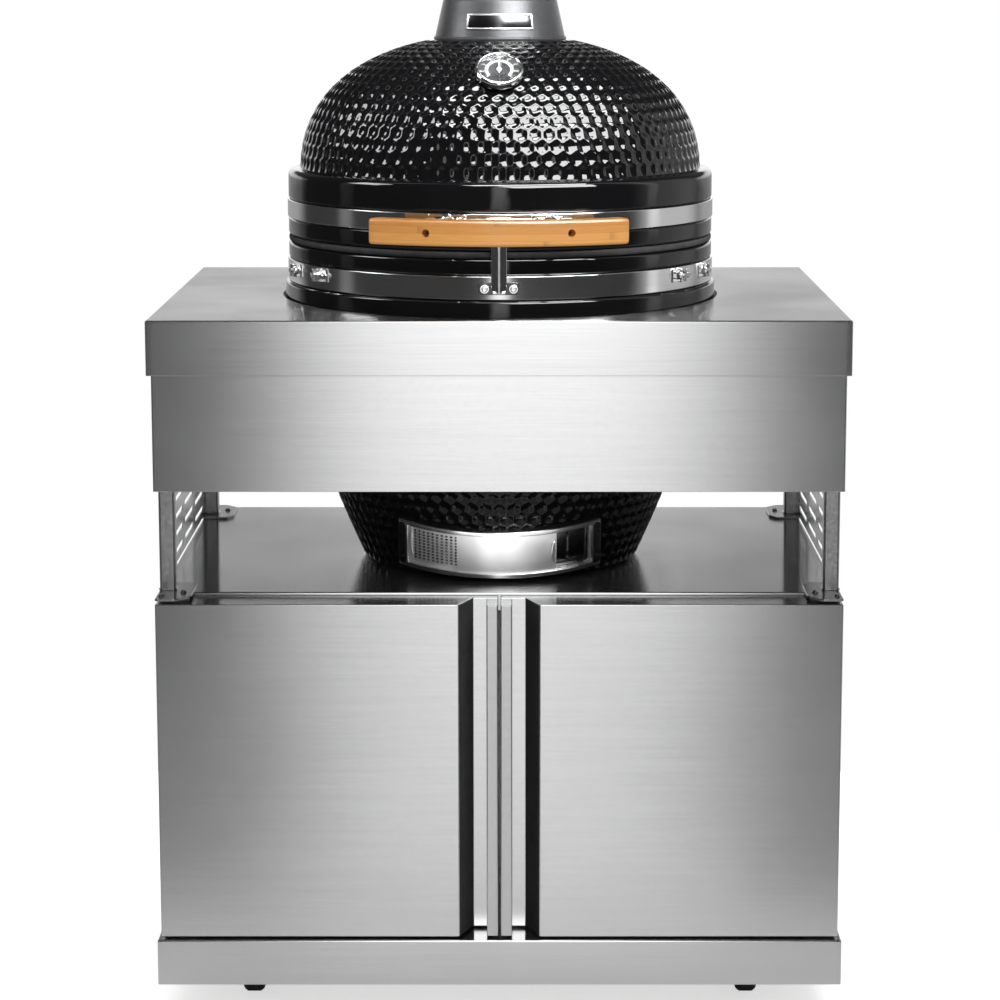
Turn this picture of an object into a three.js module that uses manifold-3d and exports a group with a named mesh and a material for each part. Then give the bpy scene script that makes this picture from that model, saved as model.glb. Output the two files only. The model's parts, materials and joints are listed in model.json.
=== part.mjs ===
// Kamado grill table: a glazed ceramic grill that stands inside a brushed steel cabinet on casters.
// Millimetres, +Z up, front towards -Y. The origin lies on the floor under the middle of the table.
import * as THREE from "three";
import { mergeVertices } from "three/addons/utils/BufferGeometryUtils.js";
import Module from "manifold-3d";

const wasm = await Module();
wasm.setup();

// Fits shared by all pieces
const seatGap = 0.3;
const runningGap = 0.5;
const overrun = 5;
const weldDistance = 0.001;
const circleSteps = 36;
const smallSteps = 12;
const boltSides = 8;
const fullTurn = 360;

// The grill's widest radius and the hole in the worktop that it hangs through; the table's depth follows
const bodyBulgeRadius = 296;
const worktopHoleGap = 4;
const worktopHoleMargin = 20;
const worktopHoleRadius = bodyBulgeRadius + worktopHoleGap;

// Table: plan size, and its heights stacked up from the floor
const tableWidth = 900;
const tableDepth = 2 * (worktopHoleRadius + worktopHoleMargin);
const frameSetback = 5;
const frameWidth = tableWidth - 2 * frameSetback;
const plinthClearance = 50;
const plinthHeight = 61;
const doorBottomGap = 3.5;
const doorHeight = 447.5;
const doorTopGap = 4;
const bayHeight = 143;
const apronHeight = 152;
const fasciaHeight = 71;
const floorTop = plinthClearance + plinthHeight;
const doorBottom = floorTop + doorBottomGap;
const doorTop = doorBottom + doorHeight;
const shelfTop = doorTop + doorTopGap;
const apronBottom = shelfTop + bayHeight;
const fasciaBottom = apronBottom + apronHeight;
const worktopTop = fasciaBottom + fasciaHeight;
const tableFront = -tableDepth / 2;
const tableRear = tableDepth / 2;

// Worktop and aprons
const worktopSheet = 2;
const apronSheet = 1.5;
const apronSetback = 10;
const apronFlange = 30;
const apronFront = tableFront + apronSetback;

// Cabinet
const cabinetSheet = 1.2;
const cabinetFlange = 22;
const cabinetTopSkirt = 24;
const doorSetback = 4;
const doorThickness = 49;
const doorCabinetGap = 4;
const doorFront = tableFront + doorSetback;
const doorBack = doorFront + doorThickness;
const cabinetFront = doorBack + doorCabinetGap;
const cabinetRear = tableRear - apronSetback;
const cabinetTopUnder = shelfTop - cabinetSheet;
const sidePanelOuter = frameWidth / 2 - cabinetSheet - seatGap;
const plinthSheet = 2;

// Posts, their foot plates and the slotted side panels
const postSize = 21;
const postWall = 2;
const footPlateThickness = 3;
const footPlateWidth = 45;
const footPlateReach = 26;
const footPlateChamfer = 17;
const ventSheet = 1.5;
const slotColumns = 4;
const slotRows = 6;
const slotHeight = 8;
const slotColumnGap = 23;
const slotRowPitch = 24;
const slotFrontMargin = 7;
const slotRearMargin = 27.4;
const slotBottomMargin = 11;
const postFront = cabinetFront;
const postBack = postFront + postSize;
const postOuter = frameWidth / 2;
const postInner = postOuter - postSize;

// Doors: a flat front, a sloping finger recess by the meeting edge and a full-height bar
const doorSheet = 1.2;
const doorMeetingGap = 1.75;
const recessMouth = 52.5;
const recessFloor = 35;
const recessDepth = 40;
const barWidth = 14.75;
const barEndMargin = 1;
const drainRadius = 4;
const drainInset = 60;
const pivotInset = 5;
const pivotRadius = 3;
const pivotLength = 18;
const pivotCollar = 5.5;
const hingePlateWidth = 40;
const hingePlateDepth = 17;
const hingePlateThickness = 2;
const hingeTabWidth = 25;
const hingeTabHeight = 28;
const hingeTabThickness = 1.5;
const pivotX = frameWidth / 2 - pivotInset;
const pivotY = doorBack - pivotInset;

// Casters: swivelling with a brake at the front, fixed at the rear
const wheelRadius = 37.5;
const wheelWidth = 28;
const wheelSteps = 24;
const axleRadius = 5;
const casterSideInset = 117;
const casterEndInset = 85;
const casterX = tableWidth / 2 - casterSideInset;
const casterY = tableDepth / 2 - casterEndInset;
const casterTrail = 28;
const casterPlateSize = 80;
const casterPlateThickness = 3;
const racewayRadius = 24;
const racewayHeight = 4;
const kingpinRadius = 6;
const kingpinHeadRadius = 10;
const kingpinHeadHeight = 3;
const forkTopThickness = 5;
const forkTopRadius = 25;
const forkLegThickness = 3;
const forkAxleBoss = 12;
const brakePivotReach = 56;
const brakePivotHeight = 74;
const brakeTipReach = 74;
const brakeTipHeight = 46;
const brakeThickness = 4;
const brakePinRadius = 3;
const casterPlateTop = floorTop - plinthSheet - seatGap;
const casterPlateUnder = casterPlateTop - casterPlateThickness;
const racewayUnder = casterPlateUnder - racewayHeight;
const forkTop = racewayUnder - seatGap;
const forkTopUnder = forkTop - forkTopThickness;
const forkLegInner = wheelWidth / 2 + runningGap;
const forkLegOuter = forkLegInner + forkLegThickness;

// Grill body: heights above the worktop, radii about the grill's own axis
const bodyTaper = 106;
const bodyFootRadius = bodyBulgeRadius - bodyTaper;
const bodyBulgeTop = 20;
const bodyWall = 25;
const bodyFloor = 20;
const bodyFootChamfer = 6;
const bodyCurvePower = 1.6;
const bodyCurveSteps = 6;
const bodyRimSetback = 5;
const bodyRimRadius = bodyBulgeRadius - bodyRimSetback;
const bodyRimTop = 75;
const bandGrooveDepth = 2;
const bandGrooveRadius = bodyRimRadius - bandGrooveDepth;
const bandThickness = 3;
const lowerBandBottom = 23;
const lowerBandTop = 53;
const gasketHeight = 9;
const gasketWidth = 20;
const bodyBottomZ = shelfTop + seatGap;
const bodyRimZ = worktopTop + bodyRimTop;
const bandOuter = bandGrooveRadius + seatGap + bandThickness;
const bandFacet = bandOuter * Math.cos(Math.PI / circleSteps);

// Fire pieces inside the body
const fireboxClearance = 8;
const fireboxWall = 18;
const fireboxTop = -72;
const fireboxFloorUnder = 56;
const fireboxFloorThickness = 20;
const fireboxHoleRadius = 100;
const fireboxMouthWidth = 120;
const fireboxMouthHeight = 44;
const fireboxCurveSteps = 3;
const charcoalGrateRadius = 122;
const charcoalGrateThickness = 8;
const charcoalSlots = 7;
const charcoalSlotWidth = 10;
const fireRingTop = 52;
const fireRingWall = 16;
const grateClearance = 6;
const grateWire = 5;
const grateBars = 13;

// Draft door at the foot of the body
const draftProud = 36.5;
const draftSeatDepth = 12;
const draftOuterRadius = bodyFootRadius + draftProud;
const draftInnerRadius = bodyFootRadius + draftSeatDepth;
const draftHalfAngle = 36.5;
const draftEndAngle = 3.5;
const draftHeight = 69;
const draftRail = 7;
const draftGrooveSetback = 8.2;
const draftGrooveLip = 2.2;
const draftGrooveInner = draftOuterRadius - draftGrooveSetback;
const draftGrooveOuter = draftOuterRadius - draftGrooveLip;
const draftGrooveDepth = 4.5;
const draftGrooveEnd = 1.5;
const draftSheet = 1.2;
const screenRadius = draftGrooveInner + seatGap;
const screenFrom = -34.3;
const screenTo = -1;
const screenSlots = 7;
const screenSlotShare = 0.5;
const slideRadius = draftGrooveOuter - draftSheet - runningGap;
const slideFrom = -14.7;
const slideTo = 19.7;
const slideTabAngle = 1.2;
const slideTabReach = 7;
const draftPortWidth = 190;
const draftPortHeight = 38;
const draftAboveShelf = 9;
const draftLean = 15;
const draftBottomZ = shelfTop + draftAboveShelf;
const draftMiddleZ = draftBottomZ + draftHeight / 2;
const draftMiddleRadius = (draftInnerRadius + draftOuterRadius) / 2;
const screenTabReach = slideRadius - screenRadius - seatGap;
const draftSteps = 20;

// Dome: a superellipse above the lip, with a smoke hole under the collar
const domeRimBottom = 85;
const domeRimRadius = bodyRimRadius;
const upperBandBottom = 109;
const upperBandTop = 133;
const domeLipTop = 172;
const domeLipRadius = domeRimRadius;
const domeCurveBottom = 165;
const domeLipOverhang = 16;
const domeRadius = domeLipRadius - domeLipOverhang;
const domePower = 2.3;
const domeWall = 22;
const domeCurveSteps = 6;
const domeLipShare = 0.12;
const domeTopHeight = 347;
const domeCrownRise = 8;
const domeRise = domeTopHeight - domeCurveBottom + domeCrownRise;
const domeShoulder = 6;

// Top vent: cone collar with a windowed neck, a turning windowed sleeve and its cap
const collarBaseRadius = 90.5;
const collarTaper = 13;
const collarTopRadius = collarBaseRadius - collarTaper;
const collarHeight = 54;
const collarFlange = 4;
const collarWall = 5;
const neckSetback = 8.5;
const neckRadius = collarTopRadius - neckSetback;
const smokeHoleRadius = neckRadius - collarWall;
const neckHeight = 44;
const ventWindows = 4;
const ventWindowFirst = 45;
const ventWindowAngle = 20;
const ventWindowTurn = 5;
const ventWindowMargin = 9;
const sleeveWall = 3;
const capOverhang = 11;
const capRadius = neckRadius + capOverhang;
const capHeight = 16;
const capCrown = 12;
const capKnobRadius = 14;
const capKnobHeight = 18;
const nameplateWidth = 86;
const nameplateHeight = 18;
const nameplateThickness = 2;
const nameplateHeightShare = 0.47;

// Thermometer on the front of the dome
const thermometerRadius = 31.5;
const thermometerDepth = 13;
const thermometerRim = 3;
const thermometerRecess = 4;
const thermometerHubRadius = 2;
const pointerLength = 19;
const pointerTail = 6;
const pointerWidth = 3;
const pointerThickness = 1.2;
const pointerTipShare = 1 / 3;
const pointerHubRadius = 3.5;
const thermometerInset = 71;
const thermometerAxisRadius = domeRadius - thermometerInset;
const thermometerLean = 5.17;
const thermometerSpanShare = 0.02;
const thermometerStandoff = 1.1;
const thermometerStemRadius = 4;
const thermometerStemLength = 48;

// Wooden handle, its brackets and the catch below it
const handleStandoff = 38.7;
const handleDepth = 24;
const handleOuterRadius = bandOuter + handleStandoff + handleDepth;
const handleHeight = 33;
const handleBottom = 97;
const handleChord = 332;
const handleRounding = 3;
const handleSteps = 16;
const handleScrewAngle = 15;
const handleScrewRadius = 4.5;
const handleScrewDepth = 12;
const bracketWidth = 16;
const bracketHeight = 20;
const bracketFootWidth = 32;
const bracketFootThickness = 3;
const catchFootWidth = 52;
const catchFootHeight = 16;
const catchFootThickness = 3;
const catchBarWidth = 20;
const catchBarThickness = 4;
const catchTop = 122;

// Rear hinge of the dome, with its two springs
const hingePinStandoff = 29.7;
const hingePinY = bandOuter + hingePinStandoff;
const hingePinHeight = 80;
const hingePinRadius = 5;
const hingePinOverhang = 4;
const hingeBossRadius = 12;
const hingeCheekInner = 42;
const hingeCheekThickness = 5;
const hingePlateAngle = 13;
const hingeBandPlate = 4;
const hingeArmThickness = 5;
const hingeTailReach = 22;
const hingeTailDepth = 12;
const hingeTailHeight = 6;
const hingeFootDepth = 20;
const hingeFootThickness = 4;
const hingeFootAboveWorktop = 5;
const springX = 22;
const springCoilRadius = 8;
const springWire = 2.4;
const springCurls = 7;
const springStepsPerCurl = 8;
const springSides = 5;
const pinZ = worktopTop + hingePinHeight;
const hingeRearReach = 33;
const hingeRearY = hingePinY + hingeRearReach;

// Materials
const materials = {
  brushedSteel: new THREE.MeshStandardMaterial({ color: 0xb9babd, roughness: 0.32, metalness: 1 }),
  polishedSteel: new THREE.MeshStandardMaterial({ color: 0xd2d3d5, roughness: 0.12, metalness: 1 }),
  zincSteel: new THREE.MeshStandardMaterial({ color: 0x9ea0a3, roughness: 0.4, metalness: 1 }),
  blackGlaze: new THREE.MeshStandardMaterial({ color: 0x0b0b0d, roughness: 0.08, metalness: 0 }),
  fireClay: new THREE.MeshStandardMaterial({ color: 0xb8a184, roughness: 0.9, metalness: 0 }),
  castIron: new THREE.MeshStandardMaterial({ color: 0x2c2d30, roughness: 0.55, metalness: 0.6 }),
  bamboo: new THREE.MeshStandardMaterial({ color: 0xd99a52, roughness: 0.45, metalness: 0 }),
  felt: new THREE.MeshStandardMaterial({ color: 0x26262a, roughness: 1, metalness: 0 }),
  rubber: new THREE.MeshStandardMaterial({ color: 0x17171a, roughness: 0.75, metalness: 0 }),
  blackPlastic: new THREE.MeshStandardMaterial({ color: 0x1d1d20, roughness: 0.5, metalness: 0 }),
  pointerWhite: new THREE.MeshStandardMaterial({ color: 0xd8d8d6, roughness: 0.4, metalness: 0 }),
};

// Solids from three.js geometry, and back

function solidFrom(geometry) {
  geometry.deleteAttribute("normal");
  geometry.deleteAttribute("uv");
  const merged = mergeVertices(geometry, weldDistance);
  const vertProperties = new Float32Array(merged.attributes.position.array);
  const triVerts = new Uint32Array(merged.index.array);
  return new wasm.Manifold(new wasm.Mesh({ numProp: 3, vertProperties, triVerts }));
}

function geometryFrom(solid) {
  const mesh = solid.getMesh();
  const geometry = new THREE.BufferGeometry();
  geometry.setAttribute("position", new THREE.BufferAttribute(mesh.vertProperties, 3));
  geometry.setIndex(new THREE.BufferAttribute(mesh.triVerts, 1));
  geometry.computeVertexNormals();
  return geometry;
}

function joined(solids) {
  return solids.reduce((whole, solid) => whole.add(solid));
}

function cut(solid, tools) {
  return tools.reduce((left, tool) => left.subtract(tool), solid);
}

// A box between two limits on each axis
function box(fromX, toX, fromY, toY, fromZ, toZ) {
  const geometry = new THREE.BoxGeometry(toX - fromX, toY - fromY, toZ - fromZ);
  geometry.translate((fromX + toX) / 2, (fromY + toY) / 2, (fromZ + toZ) / 2);
  return solidFrom(geometry);
}

// An outline of [x, y] points, raised between two heights
function plateZ(outline, fromZ, toZ) {
  const shape = new THREE.Shape(outline.map(([x, y]) => new THREE.Vector2(x, y)));
  const geometry = new THREE.ExtrudeGeometry(shape, { depth: toZ - fromZ, bevelEnabled: false });
  geometry.translate(0, 0, fromZ);
  return solidFrom(geometry);
}

// An outline of [y, z] points, drawn out between two places along X
function plateX(outline, fromX, toX) {
  const shape = new THREE.Shape(outline.map(([y, z]) => new THREE.Vector2(y, z)));
  const geometry = new THREE.ExtrudeGeometry(shape, { depth: toX - fromX, bevelEnabled: false });
  geometry.applyMatrix4(new THREE.Matrix4().set(0, 0, 1, fromX, 1, 0, 0, 0, 0, 1, 0, 0, 0, 0, 0, 1));
  return solidFrom(geometry);
}

// A profile of [radius, height] points, closed or from axis to axis, turned about Z
function revolved(profile, steps = circleSteps) {
  const points = profile.map(([radius, height]) => new THREE.Vector2(radius, height));
  if (THREE.ShapeUtils.area(points) < 0) points.reverse();
  const geometry = new THREE.LatheGeometry(points, steps);
  geometry.rotateX(Math.PI / 2);
  return solidFrom(geometry);
}

function closedLoop(points) {
  return [...points, points[0]];
}

function tube(innerRadius, outerRadius, fromZ, toZ, steps = circleSteps) {
  const corners = [[innerRadius, fromZ], [outerRadius, fromZ], [outerRadius, toZ], [innerRadius, toZ]];
  return revolved(closedLoop(corners), steps);
}

function cylinderZ(radius, fromZ, toZ, x = 0, y = 0, sides = smallSteps) {
  const geometry = new THREE.CylinderGeometry(radius, radius, toZ - fromZ, sides);
  geometry.rotateX(Math.PI / 2);
  geometry.translate(x, y, (fromZ + toZ) / 2);
  return solidFrom(geometry);
}

function cylinderX(radius, fromX, toX, y, z, sides = smallSteps) {
  const geometry = new THREE.CylinderGeometry(radius, radius, toX - fromX, sides);
  geometry.rotateZ(-Math.PI / 2);
  geometry.translate((fromX + toX) / 2, y, z);
  return solidFrom(geometry);
}

// A thin tray: a box that is hollow and open below
function tray(fromX, toX, fromY, toY, fromZ, toZ, sheet) {
  const outer = box(fromX, toX, fromY, toY, fromZ, toZ);
  const hollow = box(fromX + sheet, toX - sheet, fromY + sheet, toY - sheet, fromZ - overrun, toZ - sheet);
  return outer.subtract(hollow);
}

// A point about the grill's axis; the angle is in degrees from the front, positive to the right
function aroundAxis(radius, degrees) {
  const angle = THREE.MathUtils.degToRad(degrees);
  return [radius * Math.sin(angle), -radius * Math.cos(angle)];
}

function sectorOutline(innerRadius, outerRadius, fromDegrees, toDegrees, steps) {
  const share = (index) => fromDegrees + ((toDegrees - fromDegrees) * index) / steps;
  const indices = [...Array(steps + 1).keys()];
  const outside = indices.map((index) => aroundAxis(outerRadius, share(index)));
  const inside = indices.map((index) => aroundAxis(innerRadius, share(index))).reverse();
  return [...outside, ...inside];
}

function sector(innerRadius, outerRadius, fromDegrees, toDegrees, fromZ, toZ, steps = draftSteps) {
  return plateZ(sectorOutline(innerRadius, outerRadius, fromDegrees, toDegrees, steps), fromZ, toZ);
}

// The same solid turned about the grill's axis
function turned(solid, degrees) {
  const geometry = geometryFrom(solid);
  geometry.rotateZ(THREE.MathUtils.degToRad(degrees));
  return solidFrom(geometry);
}

// The draft door's solids are made upright and then leaned forward, as the body's side is
function leaned(solid) {
  const geometry = geometryFrom(solid);
  geometry.translate(0, draftMiddleRadius, -draftMiddleZ);
  geometry.rotateX(THREE.MathUtils.degToRad(draftLean));
  geometry.translate(0, -draftMiddleRadius, draftMiddleZ);
  return solidFrom(geometry);
}

function mirrored(solid) {
  const geometry = geometryFrom(solid);
  geometry.scale(-1, 1, 1);
  const index = geometry.index.array;
  for (let corner = 0; corner < index.length; corner += 3) {
    [index[corner], index[corner + 1]] = [index[corner + 1], index[corner]];
  }
  return solidFrom(geometry);
}

const sides = [
  { name: "left", sign: -1 },
  { name: "right", sign: 1 },
];

// Takes a solid made for the right side to the side wanted
function onSide(side, solid) {
  return side.sign > 0 ? solid : mirrored(solid);
}

function addPiece(parent, name, solid, material) {
  const mesh = new THREE.Mesh(geometryFrom(solid), material);
  mesh.name = name;
  parent.add(mesh);
  return mesh;
}

// Table top

function makeWorktop() {
  const halfWidth = tableWidth / 2;
  const top = tray(-halfWidth, halfWidth, tableFront, tableRear, fasciaBottom, worktopTop, worktopSheet);
  const hole = cylinderZ(worktopHoleRadius, fasciaBottom, worktopTop + overrun, 0, 0, circleSteps);
  return top.subtract(hole);
}

// A face with a flange under the worktop and a return at each end, facing the front
function makeFrontApron() {
  const halfWidth = frameWidth / 2;
  const top = worktopTop - worktopSheet - seatGap;
  const face = box(-halfWidth, halfWidth, apronFront, apronFront + apronSheet, apronBottom, top);
  const flange = box(-halfWidth, halfWidth, apronFront, apronFront + apronFlange, top - apronSheet, top);
  const returns = sides.map((side) =>
    onSide(side, box(halfWidth - apronSheet, halfWidth, apronFront, postFront - seatGap, apronBottom, top)),
  );
  const hemBack = apronFront + apronFlange / 2;
  const hem = box(-halfWidth, halfWidth, apronFront, hemBack, apronBottom, apronBottom + apronSheet);
  const mouth = cylinderZ(worktopHoleRadius, apronBottom, worktopTop, 0, 0, circleSteps);
  return joined([face, flange, hem, ...returns]).subtract(mouth);
}

function makeRearApron() {
  return turned(makeFrontApron(), 180);
}

// Posts and side panels

// A square tube on its foot plate; the plate runs forward from the post to its own front edge
function makePost(plateFront) {
  const footTop = shelfTop + seatGap + footPlateThickness;
  const inner = postOuter - footPlateWidth;
  const back = postBack + footPlateReach;
  const plate = plateZ(
    [
      [postOuter, plateFront],
      [postOuter, back],
      [inner + footPlateChamfer / 2, back],
      [inner, back - footPlateChamfer],
      [inner, plateFront + footPlateChamfer],
      [inner + footPlateChamfer, plateFront],
    ],
    shelfTop + seatGap,
    footTop,
  );
  const postTop = worktopTop - worktopSheet - seatGap;
  const outer = box(postInner, postOuter, postFront, postBack, footTop - footPlateThickness / 2, postTop);
  const bore = box(
    postInner + postWall,
    postOuter - postWall,
    postFront + postWall,
    postBack - postWall,
    footTop,
    postTop + overrun,
  );
  return plate.add(outer).subtract(bore);
}

function makeVentPanel() {
  const front = postBack + seatGap;
  const bottom = shelfTop + footPlateThickness + 2 * seatGap;
  const top = worktopTop - worktopSheet - seatGap;
  const panel = box(postOuter - ventSheet, postOuter, front, -front, bottom, top);
  const slotted = -front - slotRearMargin - (front + slotFrontMargin);
  const slotLength = (slotted - (slotColumns - 1) * slotColumnGap) / slotColumns;
  const slots = [];
  for (let column = 0; column < slotColumns; column += 1) {
    for (let row = 0; row < slotRows; row += 1) {
      const y = front + slotFrontMargin + column * (slotLength + slotColumnGap);
      const z = bottom + slotBottomMargin + row * slotRowPitch;
      slots.push(box(postOuter - overrun, postOuter + overrun, y, y + slotLength, z, z + slotHeight));
    }
  }
  return cut(panel, slots);
}

// Cabinet

function makeCabinetTop() {
  const halfWidth = frameWidth / 2;
  const bottom = shelfTop - cabinetTopSkirt;
  return tray(-halfWidth, halfWidth, cabinetFront, cabinetRear, bottom, shelfTop, cabinetSheet);
}

function makeSidePanel() {
  const front = cabinetFront + cabinetSheet + seatGap;
  const rear = cabinetRear - cabinetSheet - seatGap;
  const bottom = floorTop + seatGap;
  const top = cabinetTopUnder - seatGap;
  const inner = sidePanelOuter - cabinetSheet;
  const wall = box(inner, sidePanelOuter, front, rear, bottom, top);
  const lip = sidePanelOuter - cabinetFlange;
  const frontFlange = box(lip, sidePanelOuter, front, front + cabinetSheet, bottom, top);
  const rearFlange = box(lip, sidePanelOuter, rear - cabinetSheet, rear, bottom, top);
  return joined([wall, frontFlange, rearFlange]);
}

function makeCabinetBack() {
  const rear = cabinetRear - 2 * (cabinetSheet + seatGap);
  const halfWidth = sidePanelOuter - cabinetSheet - seatGap;
  return box(-halfWidth, halfWidth, rear - cabinetSheet, rear, floorTop + seatGap, cabinetTopUnder - seatGap);
}

function makeBasePlinth() {
  const halfWidth = tableWidth / 2;
  return tray(-halfWidth, halfWidth, tableFront, tableRear, plinthClearance, floorTop, plinthSheet);
}

// Doors, made for the right side

function doorOutline(inset) {
  const slope = (recessMouth - recessFloor) / recessDepth;
  const slopeShift = inset * Math.hypot(1, slope);
  const mouthX = recessMouth - slope * inset + slopeShift;
  const floorX = recessFloor - slope * inset + slopeShift;
  return [
    [frameWidth / 2 - inset, doorFront + inset],
    [frameWidth / 2 - inset, doorBack - inset],
    [doorMeetingGap + inset, doorBack - inset],
    [doorMeetingGap + inset, doorFront + recessDepth + inset],
    [floorX, doorFront + recessDepth + inset],
    [mouthX, doorFront + inset],
  ];
}

function makeDoor() {
  const skin = plateZ(doorOutline(0), doorBottom, doorTop);
  const hollow = plateZ(doorOutline(doorSheet), doorBottom + doorSheet, doorTop - doorSheet);
  const middleY = doorFront + doorThickness / 2;
  const drainPlaces = [recessMouth + drainInset, frameWidth / 2 - drainInset];
  const holeAt = (radius, x, y, z) => cylinderZ(radius, z - overrun, z + overrun, x, y);
  const drains = drainPlaces.map((x) => holeAt(drainRadius, x, middleY, doorBottom));
  const holeRadius = pivotRadius + runningGap;
  const pivotHoles = [doorBottom, doorTop].map((z) => holeAt(holeRadius, pivotX, pivotY, z));
  return cut(skin, [hollow, ...drains, ...pivotHoles]);
}

function makeDoorHandle() {
  const bottom = doorBottom + barEndMargin;
  const top = doorTop - barEndMargin;
  const right = doorMeetingGap + barWidth;
  const back = doorFront + recessDepth - seatGap;
  const bar = box(doorMeetingGap, right, doorFront, back, bottom, top);
  const hollow = box(
    doorMeetingGap + doorSheet,
    right - doorSheet,
    doorFront + doorSheet,
    back + overrun,
    bottom + doorSheet,
    top - doorSheet,
  );
  return bar.subtract(hollow);
}

function hingePlate(fromZ) {
  const outer = frameWidth / 2;
  const inner = outer - hingePlateWidth;
  const back = cabinetFront - seatGap;
  return box(inner, outer, back - hingePlateDepth, back, fromZ, fromZ + hingePlateThickness);
}

function makeUpperDoorHinge() {
  const plateBottom = doorTop + (doorTopGap - hingePlateThickness) / 2;
  const back = cabinetFront - seatGap;
  const tabX = frameWidth / 2 - hingePlateWidth;
  const plateTop = plateBottom + hingePlateThickness;
  const tabBottom = plateTop - hingeTabHeight;
  const tab = box(tabX, tabX + hingeTabWidth, back - hingeTabThickness, back, tabBottom, plateTop);
  const pin = cylinderZ(pivotRadius, plateBottom - pivotLength, plateTop, pivotX, pivotY, boltSides);
  return joined([hingePlate(plateBottom), tab, pin]);
}

function makeLowerDoorHinge() {
  const plateBottom = floorTop + seatGap;
  const collar = cylinderZ(pivotCollar, plateBottom, doorBottom - seatGap, pivotX, pivotY, boltSides);
  const pin = cylinderZ(pivotRadius, plateBottom, doorBottom + pivotLength, pivotX, pivotY, boltSides);
  return joined([hingePlate(plateBottom), collar, pin]);
}

// Casters, made about their own swivel axis at x = y = 0

function casterPlate() {
  const half = casterPlateSize / 2;
  return box(-half, half, -half, half, casterPlateUnder, casterPlateTop);
}

function makeSwivelPlate() {
  const raceway = cylinderZ(racewayRadius, racewayUnder, casterPlateTop);
  const headTop = forkTopUnder - seatGap;
  const kingpin = cylinderZ(kingpinRadius, headTop - kingpinHeadHeight, casterPlateTop);
  const head = cylinderZ(kingpinHeadRadius, headTop - kingpinHeadHeight, headTop);
  return joined([casterPlate(), raceway, kingpin, head]);
}

// One leg outline in the side view: the top's width narrowing to a round boss at the axle
function legOutline(halfTop, topZ, axleY) {
  const outline = [[-halfTop, topZ]];
  for (let step = 0; step <= boltSides; step += 1) {
    const angle = Math.PI + (Math.PI * step) / boltSides;
    outline.push([axleY + forkAxleBoss * Math.cos(angle), wheelRadius + forkAxleBoss * Math.sin(angle)]);
  }
  outline.push([halfTop, topZ]);
  return outline;
}

function legPair(halfTop, topZ, axleY) {
  const outline = legOutline(halfTop, topZ, axleY);
  return [plateX(outline, forkLegInner, forkLegOuter), plateX(outline, -forkLegOuter, -forkLegInner)];
}

function makeSwivelFork() {
  const top = cylinderZ(forkTopRadius, forkTopUnder, forkTop);
  const legs = legPair(forkTopRadius - forkLegThickness, forkTop, casterTrail);
  const bridge = box(-forkLegOuter, forkLegOuter, -forkLegOuter, forkLegOuter, forkTopUnder, forkTop);
  const axle = cylinderX(axleRadius, -forkLegOuter, forkLegOuter, casterTrail, wheelRadius, boltSides);
  const earY = brakePivotReach;
  const ears = [forkLegInner, -forkLegOuter].map((x) =>
    plateX(
      [
        [forkLegThickness, forkTop],
        [earY, brakePivotHeight + 2 * brakePinRadius],
        [earY + 2 * brakePinRadius, brakePivotHeight],
        [earY, brakePivotHeight - 2 * brakePinRadius],
        [forkLegThickness, forkTopUnder - forkAxleBoss],
      ],
      x,
      x + forkLegThickness,
    ),
  );
  const pin = cylinderX(brakePinRadius, -forkLegOuter, forkLegOuter, earY, brakePivotHeight, boltSides);
  const kingpinHole = cylinderZ(kingpinRadius + runningGap, forkTopUnder - overrun, forkTop + overrun);
  return joined([top, bridge, axle, pin, ...legs, ...ears]).subtract(kingpinHole);
}

function makeFixedBracket() {
  const topZ = casterPlateUnder + casterPlateThickness / 2;
  const legs = legPair(casterPlateSize / 2 - forkLegThickness, topZ, 0);
  const axle = cylinderX(axleRadius, -forkLegOuter, forkLegOuter, 0, wheelRadius, boltSides);
  return joined([casterPlate(), axle, ...legs]);
}

function makeWheel(axleY) {
  const halfWidth = wheelWidth / 2;
  const tyre = cylinderX(wheelRadius, -halfWidth, halfWidth, axleY, wheelRadius, wheelSteps);
  const bore = cylinderX(axleRadius + runningGap, -wheelWidth, wheelWidth, axleY, wheelRadius);
  return tyre.subtract(bore);
}

// A lever on the fork's brake pin, reaching down behind the wheel
function makeBrakePedal() {
  const halfWidth = forkLegInner - runningGap;
  const hubRadius = 2 * brakePinRadius;
  const hub = cylinderX(hubRadius, -halfWidth, halfWidth, brakePivotReach, brakePivotHeight);
  const run = Math.hypot(brakeTipReach - brakePivotReach, brakeTipHeight - brakePivotHeight);
  const alongY = (brakeTipReach - brakePivotReach) / run;
  const alongZ = (brakeTipHeight - brakePivotHeight) / run;
  const half = brakeThickness / 2;
  const lever = plateX(
    [
      [brakePivotReach + half * alongZ, brakePivotHeight - half * alongY],
      [brakePivotReach - half * alongZ, brakePivotHeight + half * alongY],
      [brakeTipReach - half * alongZ, brakeTipHeight + half * alongY],
      [brakeTipReach + half * alongZ, brakeTipHeight - half * alongY],
    ],
    -halfWidth,
    halfWidth,
  );
  const boreRadius = brakePinRadius + runningGap;
  const bore = cylinderX(boreRadius, -wheelWidth, wheelWidth, brakePivotReach, brakePivotHeight);
  return hub.add(lever).subtract(bore);
}

// Grill body

// Outer radius of the body at a height above the shelf, widening upwards to the bulge
function bodyRadiusAt(z) {
  const depth = worktopTop - bodyBottomZ;
  const below = Math.max(0, worktopTop - z) / depth;
  return bodyBulgeRadius - (bodyBulgeRadius - bodyFootRadius) * below ** bodyCurvePower;
}

function bodyCurve(fromZ, toZ, inset, steps) {
  const points = [];
  for (let step = 0; step <= steps; step += 1) {
    const z = fromZ + ((toZ - fromZ) * step) / steps;
    points.push([bodyRadiusAt(z) - inset, z]);
  }
  return points;
}

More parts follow.
